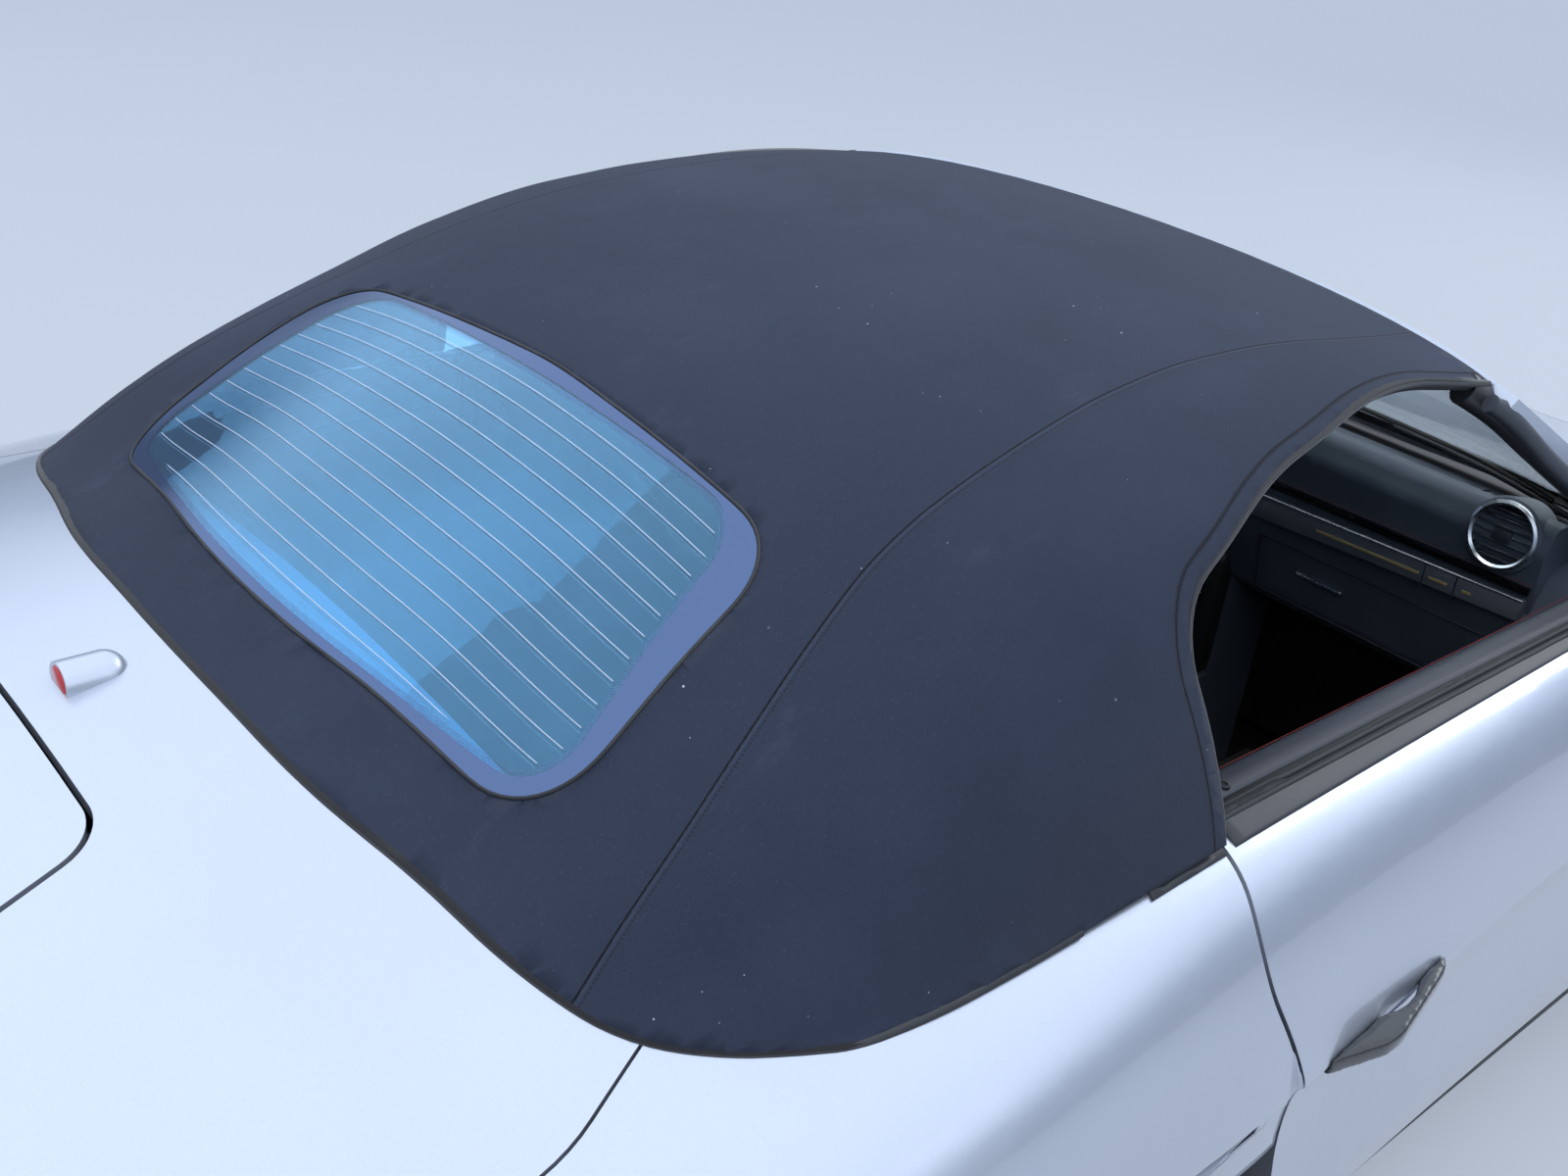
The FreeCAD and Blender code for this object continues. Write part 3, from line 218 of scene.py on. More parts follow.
def paint(look):
    """Silver metallic paint under lacquer, with flakes, and darker, browner patches low on the
    sides.
    """
    made = Finish("paint_silver", tuple(look.paint_colour), 0.32, metallic=0.75, coat=1.0)
    made.set("Coat Roughness", 0.04)
    flakes = made.cells(look.flakes_per_metre, output="Color")
    made.clouded(2.2, 2.0, 0.35, 0.75, 0.12, (0.70, 0.74, 0.82))
    made.tint(flakes.eased(0.6, 1.0) * 0.18, (0.86, 0.89, 0.95))
    # Darker, browner patches low on the sides, where the paint is also rougher
    low = 1.0 - made.axis("Z").eased(0.16, 0.46)
    made.tint(low * made.noise(7.0, detail=5.0).eased(0.42, 0.7) * 0.30, (0.36, 0.35, 0.33))
    made.set("Roughness", made.noise(40.0, detail=2.0) * 0.06 + 0.28 + low * 0.08)
    made.bump(flakes, 0.000012, 0.5)
    return made.material


def twill(look):
    """Charcoal twill: diagonal ribs, faded patches, folds with stitches, specks of lint, painted
    shade in the seam's crease and the hem's groove, and a painted highlight along the seam's lower
    flank.
    """
    made = Finish("top_twill", tuple(look.fabric_colour), 0.9)
    made.set("Sheen Weight", 0.06)
    made.set("Sheen Roughness", 0.45)
    made.set("Specular IOR Level", 0.12)
    x, y, z = made.axis("X"), made.axis("Y"), made.axis("Z")
    turn = 2 * math.pi / look.rib_pitch
    wobble = made.noise(60.0, detail=2.0) * 2.4
    ribs = ((x + y + z * 0.7) * turn + wobble).sine()
    cross = ((x - y + z * 0.7) * (turn * 1.5)).sine()
    weave = ribs * 0.7 + cross * 0.3
    # Fading, wear, specks and lint
    cloud = made.noise(2.6, detail=5.0, roughness=0.62)
    made.tint(cloud.eased(0.42, 0.72) * 0.55, lighter(look.fabric_colour, 1.45))
    made.tint(weave.eased(-0.9, 1.0) * 0.30, lighter(look.fabric_colour, 1.7))
    rub = made.noise(9.0, detail=6.0, roughness=0.7, stretch=(2.6, 0.7, 1.0))
    made.tint(rub.eased(0.58, 0.78) * 0.32, lighter(look.fabric_colour, 2.2))
    speck = made.noise(420.0, detail=1.0)
    made.tint(speck.eased(0.60, 0.78) * 0.28, lighter(look.fabric_colour, 2.6))
    lint = made.cells(46.0).under(0.034) * made.noise(11.0, detail=3.0).eased(0.52, 0.60)
    made.tint(lint * 0.7, (0.30, 0.34, 0.42))
    fluff = made.cells(21.0).under(0.030) * made.noise(5.0).eased(0.5, 0.6)
    made.tint(fluff * 0.75, (0.34, 0.37, 0.44))
    # Seam and hem, each a distance in metres, with a row of stitches beside it
    seam = made.attribute("seam")
    hem = made.attribute("hem")
    thread = (made.attribute("seam_run") / look.stitch_pitch).fraction().under(0.62)
    hem_thread = (made.attribute("hem_run") / look.stitch_pitch).fraction().under(0.62)
    row, half_thread = 0.006, 0.0008
    stitch = (seam - row).size().under(half_thread) * thread
    hem_line = (hem - look.hem_width).size()
    hem_stitch = (hem_line - 0.0022).size().under(half_thread) * hem_thread
    # Masks for painted shade in the seam's crease and the hem's groove, and for a painted highlight
    # on the seam's lower flank
    seam_crease_shade = 1.0 - (seam + 0.0004).size().eased(0.0007, 0.0014)
    seam_flank_highlight = 1.0 - (seam - 0.0022).size().eased(0.0004, 0.0020)
    groove = 1.0 - hem_line.eased(0.0006, 0.0020)
    # Painted highlight on the seam's lower flank, then painted shade in the seam's crease and the
    # hem's groove
    made.tint(seam_flank_highlight * 0.35, lighter(look.fabric_colour, 2.0))
    made.tint((seam_crease_shade * 0.9).most(groove * 0.7), (0.003, 0.003, 0.005))
    made.tint(stitch.most(hem_stitch) * 0.8, (0.014, 0.015, 0.019))
    made.bump(weave, 0.00022, 0.8)
    made.bump(made.noise(240.0, detail=2.0), 0.0003, 0.6)
    made.bump(made.noise(16.0, detail=3.0, stretch=(1.0, 0.45, 1.0)), 0.004, 0.22)
    made.bump(seam.eased(-0.0006, 0.0010) - seam_crease_shade * 0.6, 0.0009, 0.8)
    made.bump((1.0 - (seam - row).size().eased(0.003, 0.012)) * 0.4 - groove
              - stitch.most(hem_stitch) * 0.7, 0.0012, 0.9)
    return made.material


def cloth(name, colour, grain=900.0, depth=0.0003):
    """Short plain cloth or carpet with a fine nap."""
    made = Finish(name, colour, 0.95)
    made.set("Sheen Weight", 0.2)
    made.clouded(8.0, 4.0, 0.4, 0.8, 0.3, lighter(colour, 1.8))
    made.tint(made.cells(grain).eased(0.1, 0.5) * 0.3, lighter(colour, 0.5))
    made.bump(made.noise(grain, detail=2.0), depth, 0.8)
    return made.material


def grained(name, colour, roughness=0.62, grain=340.0, depth=0.0002):
    """Moulded skin with a pebbled grain and slight wear."""
    made = Finish(name, colour, roughness)
    made.bump(made.cells(grain, feature="SMOOTH_F1"), depth, 0.55)
    worn = made.noise(9.0, detail=5.0)
    made.tint(worn.eased(0.45, 0.8) * 0.3, lighter(colour, 1.7, 0.006))
    made.set("Roughness", worn * 0.16 + (roughness - 0.08))
    return made.material


def glossy(name, colour, roughness=0.08):
    """Lacquered plastic with faint hairlines."""
    made = Finish(name, colour, roughness, coat=0.8)
    hairlines = made.noise(60.0, detail=6.0, stretch=(1.0, 12.0, 1.0))
    made.set("Roughness", hairlines.eased(0.45, 0.9) * 0.14 + roughness)
    made.clouded(5.0, 3.0, 0.4, 0.8, 0.15, lighter(colour, 1.6, 0.01))
    return made.material


def metal(name, colour, roughness=0.3, streak=None):
    """Bare or lacquered metal with fine lines and dull patches."""
    made = Finish(name, colour, roughness, metallic=1.0)
    lines = made.noise(170.0, detail=3.0, stretch=streak)
    made.set("Roughness", lines * 0.18 + (roughness - 0.06))
    made.clouded(12.0, 4.0, 0.45, 0.8, 0.35, lighter(colour, 0.66))
    made.bump(lines, 0.00005, 0.4)
    return made.material


def rubber(name, colour=(0.020, 0.021, 0.024), roughness=0.66):
    """Black rubber, dusty in patches."""
    made = Finish(name, colour, roughness)
    dusty = made.noise(11.0, detail=5.0)
    made.tint(dusty.eased(0.45, 0.8) * 0.35, lighter(colour, 2.2, 0.01))
    made.set("Roughness", dusty * 0.2 + (roughness - 0.1))
    made.bump(made.noise(600.0, detail=2.0), 0.0001, 0.5)
    return made.material


def clear(name, tint, ior=1.45, reflection=(1.0, 1.0, 1.0)):
    """Glass or clear plastic, a little smeared."""
    made = Finish(name, tint, 0.0)
    made.set("Transmission Weight", 1.0)
    made.set("IOR", ior)
    made.set("Specular Tint", (*reflection, 1.0))
    made.set("Roughness", made.noise(7.0, detail=5.0).eased(0.6, 0.95) * 0.03)
    return made


def rear_glass(look):
    """Heated rear glass, blue with a painted sky reflection: dark printed border with a dotted
    inner edge, its dark blue metal also a painted reflection, and thin pale lines.
    """
    # Blue pane, metallic share and blue reflection tint: a painted reflection of a blue sky
    made = clear("rear_glass", (0.30, 0.66, 0.95), 1.7, tuple(look.glass_painted_sky_tint))
    made.set("Metallic", made.noise(3.0, detail=3.0).eased(0.3, 0.8) * 0.08 + 0.07)
    x = made.axis("X").size()
    f = made.axis("Y") - NOSE_Y
    # Distance inside the clear pane: from its leaning side, its front edge and its bowed rear edge
    beside = (f - 3.046) * 0.28 + 0.379 - x
    within = (f - 2.999).least(3.330 - x * x * 0.30 - f)
    corner = 0.058
    short = (corner - beside).most(0.0)
    shy = (corner - within).most(0.0)
    inside = corner - (short * short + shy * shy) ** 0.5
    border = inside.under(0.0).most(inside.under(0.006) * made.dots(0.003))
    # Printed border, dark blue and fully metallic: the print with a painted sky reflection over it
    made.overlaid(border, (0.115, 0.162, 0.285), 0.07, Metallic=1.0)
    # Heater lines: f along the middle of the pane, which the lines bow away from at the sides
    spread = f + x * x * (f - 3.09)
    pitch = 0.0242
    line = (((spread - 3.020) / pitch).fraction() - 0.5).size().over(0.477)
    lines = line * inside.over(0.010) * spread.over(3.010) * spread.under(3.322)
    made.overlaid(lines * 0.8, (0.30, 0.38, 0.50), 0.5)
    return made.material


def screen_glass(look):
    """Windscreen with a dark border printed round it."""
    made = clear("screen_glass", (0.90, 0.96, 0.95), 1.5)
    x = made.axis("X").size()
    f = made.axis("Y") - NOSE_Y
    # Distance inside the pane: from its leaning side and its bowed lower and upper edges
    beside = 0.672 - (f - 1.502) * 0.259 - x
    within = (f - 1.306 - x * x * 0.42 - 0.02).least(1.906 + x * x * 0.142 - f)
    inside = beside.least(within)
    border = inside.under(0.026).most(inside.under(0.040) * made.dots(0.006))
    made.overlaid(border, (0.012, 0.012, 0.013), 0.1)
    return made.material


def lamp_glass(name, tint, pitch, depth):
    """A lamp's lens with fine upright ribs moulded in it."""
    made = clear(name, tint, 1.49)
    ribs = (made.axis("X") * (2 * math.pi / pitch)).sine()
    made.bump(ribs, depth, 0.6)
    return made.material


def tyre_rubber(name, centre):
    """Tyre rubber, with lines moulded round the wall and sipes across the blocks, and painted shade
    in the sipes.
    """
    made = Finish(name, (0.016, 0.016, 0.017), 0.7)
    y = made.axis("Y") - centre.y
    z = made.axis("Z") - centre.z
    reach = (y * y + z * z) ** 0.5
    around = z.angle(y)
    walls = reach.under(centre.z - 0.016)
    rings = (reach * (2 * math.pi / 0.0052)).sine() * walls
    shaded_sipes = (around * (180 / math.pi) + made.axis("X") * 60.0).fraction().under(0.12)
    shaded_sipes = shaded_sipes * (1.0 - walls)
    dusty = made.noise(9.0, detail=5.0)
    made.tint(dusty.eased(0.42, 0.75) * 0.4, (0.06, 0.058, 0.055))
    # Painted shade in the sipes
    made.tint(shaded_sipes * 0.7, (0.004, 0.004, 0.004))
    made.set("Roughness", dusty * 0.2 + 0.6)
    made.bump(rings * 0.5 - shaded_sipes, 0.0012, 0.8)
    made.bump(made.noise(500.0, detail=2.0), 0.0001, 0.5)
    return made.material


# Modelling helpers

def assign(nodes, material):
    """Gives CAD nodes a finish."""
    for node in nodes:
        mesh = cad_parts[node].data
        for slot in range(len(mesh.materials)):
            mesh.materials[slot] = material


def linked(name, data):
    made = bpy.data.objects.new(name, data)
    bpy.context.scene.collection.objects.link(made)
    return made


def meshed(name, bm):
    """A bmesh as a mesh, and the bmesh freed."""
    mesh = bpy.data.meshes.new(name)
    bm.to_mesh(mesh)
    bm.free()
    return mesh


def add_piece(name, bm, material, body="body", sharp=38.0):
    """A finished bmesh as an object that rides on a body."""
    mesh = meshed(name, bm)
    mesh.materials.append(material)
    mesh.shade_smooth()
    mesh.set_sharp_from_angle(angle=math.radians(sharp))
    made = linked(name, mesh)
    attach(made, body)
    return made


def shape(name, material, *steps, body="body", sharp=38.0):
    """A piece from its steps, each an adder and what it takes."""
    bm = bmesh.new()
    for adder, *values in steps:
        adder(bm, *values)
    return add_piece(name, bm, material, body, sharp)


def thicken(piece, thickness):
    """Gives an open sheet its wall, inwards."""
    wall = piece.modifiers.new("wall", "SOLIDIFY")
    wall.thickness = thickness
    wall.offset = -1.0
    return piece


def node_copy(node):
    """A merged copy of a CAD node's mesh."""
    bm = bmesh.new()
    bm.from_mesh(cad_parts[node].data)
    bmesh.ops.remove_doubles(bm, verts=bm.verts, dist=0.00005)
    return bm


def remeshed(piece, voxel, turns):
    """Gives a piece one even, smoothed mesh and returns it with a bmesh of it."""
    remesh = piece.modifiers.new("remesh", "REMESH")
    remesh.mode = "VOXEL"
    remesh.voxel_size = voxel
    graph = bpy.context.evaluated_depsgraph_get()
    mesh = bpy.data.meshes.new_from_object(piece.evaluated_get(graph))
    piece.modifiers.clear()
    old = piece.data
    piece.data = mesh
    bpy.data.meshes.remove(old)
    bm = bmesh.new()
    bm.from_mesh(mesh)
    for _ in range(turns):
        smooth(bm, 0.5)
    bm.normal_update()
    return mesh, bm


def smooth(bm, factor):
    bmesh.ops.smooth_vert(bm, verts=bm.verts, factor=factor, use_axis_x=True, use_axis_y=True,
                          use_axis_z=True)


def face_along(bm, way):
    """Turns an open sheet's faces so that they look along a vector."""
    bmesh.ops.recalc_face_normals(bm, faces=bm.faces)
    if sum(face.normal.dot(way) for face in bm.faces) < 0:
        bmesh.ops.reverse_faces(bm, faces=bm.faces)


def cut(bm, place, across, **ways):
    """Divides a bmesh by a plane."""
    bmesh.ops.bisect_plane(bm, geom=bm.verts[:] + bm.edges[:] + bm.faces[:], plane_co=place,
                           plane_no=across, **ways)


def rounded(bm, edges, offset, segments):
    """Bevels edges, if there is anything to bevel off."""
    if offset:
        bmesh.ops.bevel(bm, geom=edges, offset=offset, segments=segments, profile=0.5,
                        affect="EDGES", material=-1)


def skin(node, seed, limit=38.0):
    """The smooth face of a CAD node that lies nearest to a place, out to its sharp edges."""
    bm = node_copy(node)
    first = min(bm.faces, key=lambda face: (face.calc_center_median() - seed).length)
    kept, waiting = {first}, [first]
    while waiting:
        for edge in waiting.pop().edges:
            if len(edge.link_faces) != 2 or edge.calc_face_angle(0.0) > math.radians(limit):
                continue
            for face in edge.link_faces:
                if face not in kept:
                    kept.add(face)
                    waiting.append(face)
    bmesh.ops.delete(bm, geom=[face for face in bm.faces if face not in kept], context="FACES")
    return bm


def trimmed(bm, cuts):
    """Cuts away what lies beyond planes, each a place and the way that is cut."""
    for place, away in cuts:
        cut(bm, place, away, clear_outer=True)
    return bm


def sliced(bm, axis, step):
    """Divides faces on even planes across an axis."""
    low = min(vert.co[axis] for vert in bm.verts)
    high = max(vert.co[axis] for vert in bm.verts)
    across = (ACROSS, BACK, UP)[axis]
    for k in range(1, int((high - low) / step) + 1):
        cut(bm, across * (low + k * step), across)


def patch(name, node, seed, cuts, lift, thickness, material, body="body", limit=38.0):
    """A strip of even thickness that follows a CAD node's face between planes."""
    bm = trimmed(skin(node, seed, limit), cuts)
    bm.normal_update()
    for vert in bm.verts:
        vert.co += vert.normal * lift
    return thicken(add_piece(name, bm, material, body), thickness)


def chains(bm, keep):
    """The open edges whose middles pass a test, joined into runs of places with normals."""
    bm.normal_update()
    edges = dict.fromkeys(edge for edge in bm.edges if edge.is_boundary
                          and keep((edge.verts[0].co + edge.verts[1].co) / 2))
    runs = []
    while edges:
        edge = edges.popitem()[0]
        run = [edge.verts[0], edge.verts[1]]
        for back in (False, True):
            while True:
                end = run[0] if back else run[-1]
                following = [e for e in end.link_edges if e in edges]
                if not following:
                    break
                edges.pop(following[0])
                other = following[0].other_vert(end)
                run.insert(0, other) if back else run.append(other)
        runs.append([(vert.co.copy(), vert.normal.copy()) for vert in run])
    return runs


def lengths(points):
    """How far along its line each place lies."""
    run = [0.0]
    for a, b in zip(points, points[1:]):
        run.append(run[-1] + (b - a).length)
    return run


def evened(points, pitch, smoothing=2):
    """The points at an even pitch along their line, a little smoothed."""
    run = lengths(points)
    count = max(int(run[-1] / pitch), 2)
    made = []
    k = 0
    for i in range(count + 1):
        place = run[-1] * i / count
        while k < len(points) - 2 and run[k + 1] < place:
            k += 1
        share = (place - run[k]) / max(run[k + 1] - run[k], 1e-9)
        made.append(points[k].lerp(points[k + 1], min(share, 1.0)))
    for _ in range(smoothing):
        made = [made[0]] + [(a + b * 2 + c) / 4 for a, b, c in zip(made, made[1:], made[2:])] \
            + [made[-1]]
    return made


def beads(name, lines, radius, material, body="body", closed=False, sides=2):
    """Round beads along lines of places, with closed ends, in one piece."""
    data = bpy.data.curves.new(name, "CURVE")
    data.dimensions = "3D"
    data.bevel_depth = radius
    data.bevel_resolution = sides
    data.use_fill_caps = True
    for points in lines:
        spline = data.splines.new("POLY")
        spline.points.add(len(points) - 1)
        for spot, place in zip(spline.points, points):
            spot.co = (*place, 1.0)
        spline.use_cyclic_u = closed
    holder = linked(name + "_line", data)
    mesh = bpy.data.meshes.new_from_object(holder)
    bpy.data.objects.remove(holder)
    bm = bmesh.new()
    bm.from_mesh(mesh)
    bmesh.ops.remove_doubles(bm, verts=bm.verts, dist=0.00001)
    bmesh.ops.recalc_face_normals(bm, faces=bm.faces)
    return add_piece(name, bm, material, body, 60.0)


def stitches(name, lines, length, pitch, radius, material, body="body"):
    """Rows of short threads along lines of places."""
    threads = []
    for points in lines:
        row = evened(points, pitch, 0)
        for a, b in zip(row, row[1:]):
            threads.append([a, a + (b - a) * (length / pitch)])
    return beads(name, threads, radius, material, body, sides=0)


def edges_of(verts):
    """The edges at vertices, each once and in an order that stays the same from run to run."""
    return list(dict.fromkeys(edge for vert in verts for edge in vert.link_edges))


def add_block(bm, low, high, bevel=0.0, segments=3, turn=None):
    """A block between two corners with rounded edges, turned about its middle."""
    middle = (low + high) / 2
    place = Matrix.Translation(middle) @ (turn or Matrix()) @ Matrix.Diagonal((*(high - low), 1.0))
    made = bmesh.ops.create_cube(bm, size=1.0, matrix=place)
    rounded(bm, edges_of(made["verts"]), bevel, segments)


def add_round(bm, start, end, radius, end_radius=None, steps=24, bevel=0.0):
    """A round bar or cone between two places."""
    along = end - start
    turn = along.to_track_quat("Z", "Y").to_matrix().to_4x4()
    made = bmesh.ops.create_cone(
        bm, cap_ends=True, segments=steps, radius1=radius,
        radius2=radius if end_radius is None else end_radius, depth=along.length,
        matrix=Matrix.Translation((start + end) / 2) @ turn)
    rims = [edge for edge in edges_of(made["verts"])
            if any(len(face.verts) > 4 for face in edge.link_faces)]
    rounded(bm, rims, bevel, 2)


def add_turned(bm, profile, centre, axis, steps=64):
    """A body turned about an axis from points along it and out from it, in metres."""
    turn = axis.to_track_quat("X", "Z").to_matrix()
    before = set(bm.verts)
    verts = [bm.verts.new(centre + turn @ Vector((along, 0.0, out))) for along, out in profile]
    edges = [bm.edges.new(pair) for pair in zip(verts, verts[1:])]
    bmesh.ops.spin(bm, geom=verts + edges, cent=centre, axis=axis, angle=2 * math.pi,
                   steps=steps, use_merge=True)
    fresh = [vert for vert in bm.verts if vert not in before]
    bmesh.ops.remove_doubles(bm, verts=fresh, dist=0.00001)
    bmesh.ops.recalc_face_normals(bm, faces=bm.faces)


def add_plate(bm, outline, depth, bevel=0.0, segments=2):
    """A plate: a flat outline of places pushed along a vector, its rims rounded."""
    verts = [bm.verts.new(place) for place in outline]
    face = bm.faces.new(verts)
    pushed = bmesh.ops.extrude_face_region(bm, geom=[face])
    moved = [part for part in pushed["geom"] if isinstance(part, bmesh.types.BMVert)]
    bmesh.ops.translate(bm, verts=moved, vec=depth)
    whole = verts + moved
    faces = list(dict.fromkeys(part for vert in whole for part in vert.link_faces))
    bmesh.ops.recalc_face_normals(bm, faces=faces)
    rounded(bm, edges_of(whole), bevel, segments)


def ellipse(middle, across, up, steps=32):
    """Places round an oval given by its two half axes."""
    return [middle + across * math.cos(2 * math.pi * k / steps)
            + up * math.sin(2 * math.pi * k / steps) for k in range(steps)]


def nearest_on(node):
    """A finder of the nearest place and normal on a CAD node."""
    bm = node_copy(node)
    tree = BVHTree.FromBMesh(bm)
    bm.free()
    return tree


def laid(tree, points, lift):
    """Places moved onto a surface and lifted off it."""
    found = [tree.find_nearest(place) for place in points]
    return [spot + normal * lift for spot, normal, face, gap in found]


def near_line(place, line, runs):
    """Distance from a place to a line of places, how far along it is, and where."""
    best = None
    for k, (a, b) in enumerate(zip(line, line[1:])):
        along = b - a
        share = min(max((place - a).dot(along) / along.length_squared, 0.0), 1.0)
        spot = a + along * share
        gap = (place - spot).length
        if best is None or gap < best[0]:
            best = (gap, runs[k] + along.length * share, spot)
    return best


class CarLook(bpy.types.PropertyGroup):
    """Colours and sizes that a user would change."""

    paint_colour: bpy.props.FloatVectorProperty(
        name="Paint", description="Base colour of the body paint", subtype="COLOR",
        default=(0.50, 0.535, 0.61), min=0.0, max=1.0)
    flakes_per_metre: bpy.props.FloatProperty(
        name="Flakes", description="Metal flakes along one metre of paint", default=1500.0)
    fabric_colour: bpy.props.FloatVectorProperty(
        name="Fabric", description="Base colour of the fabric top", subtype="COLOR",
        default=(0.0178, 0.0230, 0.0388), min=0.0, max=1.0)
    # Blue tint on the rear glass's reflections: a painted blue sky reflection
    glass_painted_sky_tint: bpy.props.FloatVectorProperty(
        name="Glass reflection", description="Tint of what the rear glass reflects",
        subtype="COLOR", default=(0.55, 0.85, 1.0), min=0.0, max=1.0)
    stitch_colour: bpy.props.FloatVectorProperty(
        name="Stitching", description="Colour of the cabin's stitching", subtype="COLOR",
        default=(0.17, 0.010, 0.014), min=0.0, max=1.0)
    rib_pitch: bpy.props.FloatProperty(
        name="Rib pitch", description="Distance between the fabric's diagonal ribs",
        default=0.0022, unit="LENGTH", precision=5)
    stitch_pitch: bpy.props.FloatProperty(
        name="Stitch pitch", description="Distance from stitch to stitch on the top",
        default=0.0042, unit="LENGTH", precision=5)
    hem_width: bpy.props.FloatProperty(
        name="Hem", description="Width of the band sewn round the side opening",
        default=0.020, unit="LENGTH", precision=4)
    sag: bpy.props.FloatProperty(
        name="Sag", description="How far the fabric sinks between its bows",
        default=0.004, unit="LENGTH", precision=4)
    slice_step: bpy.props.FloatProperty(
        name="Mesh step", description="Spacing of the fabric's mesh", default=0.026,
        unit="LENGTH", precision=4)


class CAR_OT_body(bpy.types.Operator):
    """Paint, metal and plastic on the CAD pieces that keep their shape"""

    bl_idname = "car.body"
    bl_label = "Body finishes"

    def execute(self, context):
        look = context.scene.car_look
        panels = ["front_bumper", "rear_bumper", "rear_deck", "hood", "trunk_lid",
                  "windshield_frame"]
        for side, sign in SIDES:
            panels += [name + side for name in ("fender_", "quarter_", "door_", "mirror_")]
        assign(panels, paint(look))
        alloy = metal("wheel_alloy", (0.46, 0.47, 0.49), 0.26)
        iron = metal("cast_iron", (0.15, 0.145, 0.14), 0.55)
        for side, sign in SIDES:
            assign(["wheel_front_" + side, "wheel_rear_" + side], alloy)
            assign(["knuckle_front_" + side, "rear_suspension_" + side], iron)
        for nodes, finish in (
                (("floor_pan", "front_structure", "rear_structure"),
                 grained("underbody_black", (0.014, 0.014, 0.015), 0.7)),
                (("engine_block",), metal("block_iron", (0.16, 0.155, 0.15), 0.6)),
                (("exhaust", "front_suspension"), metal("dull_steel", (0.36, 0.35, 0.34), 0.42)),
                (("rear_window",), rear_glass(look)),
                (("windshield_glass",), screen_glass(look)),
                # Dashboard colour lightened and blued: painted sky light that its shaded place
                # doesn't get
                (("dashboard",), grained("dash_painted_skylight", (0.060, 0.075, 0.100))),
                (("door_handle_left", "door_handle_right"),
                 glossy("handle_black", (0.006, 0.006, 0.007))),
                (("steering_wheel",), grained("wheel_leather", (0.012, 0.012, 0.013), 0.5, 700.0))):
            assign(nodes, finish)
        return {"FINISHED"}


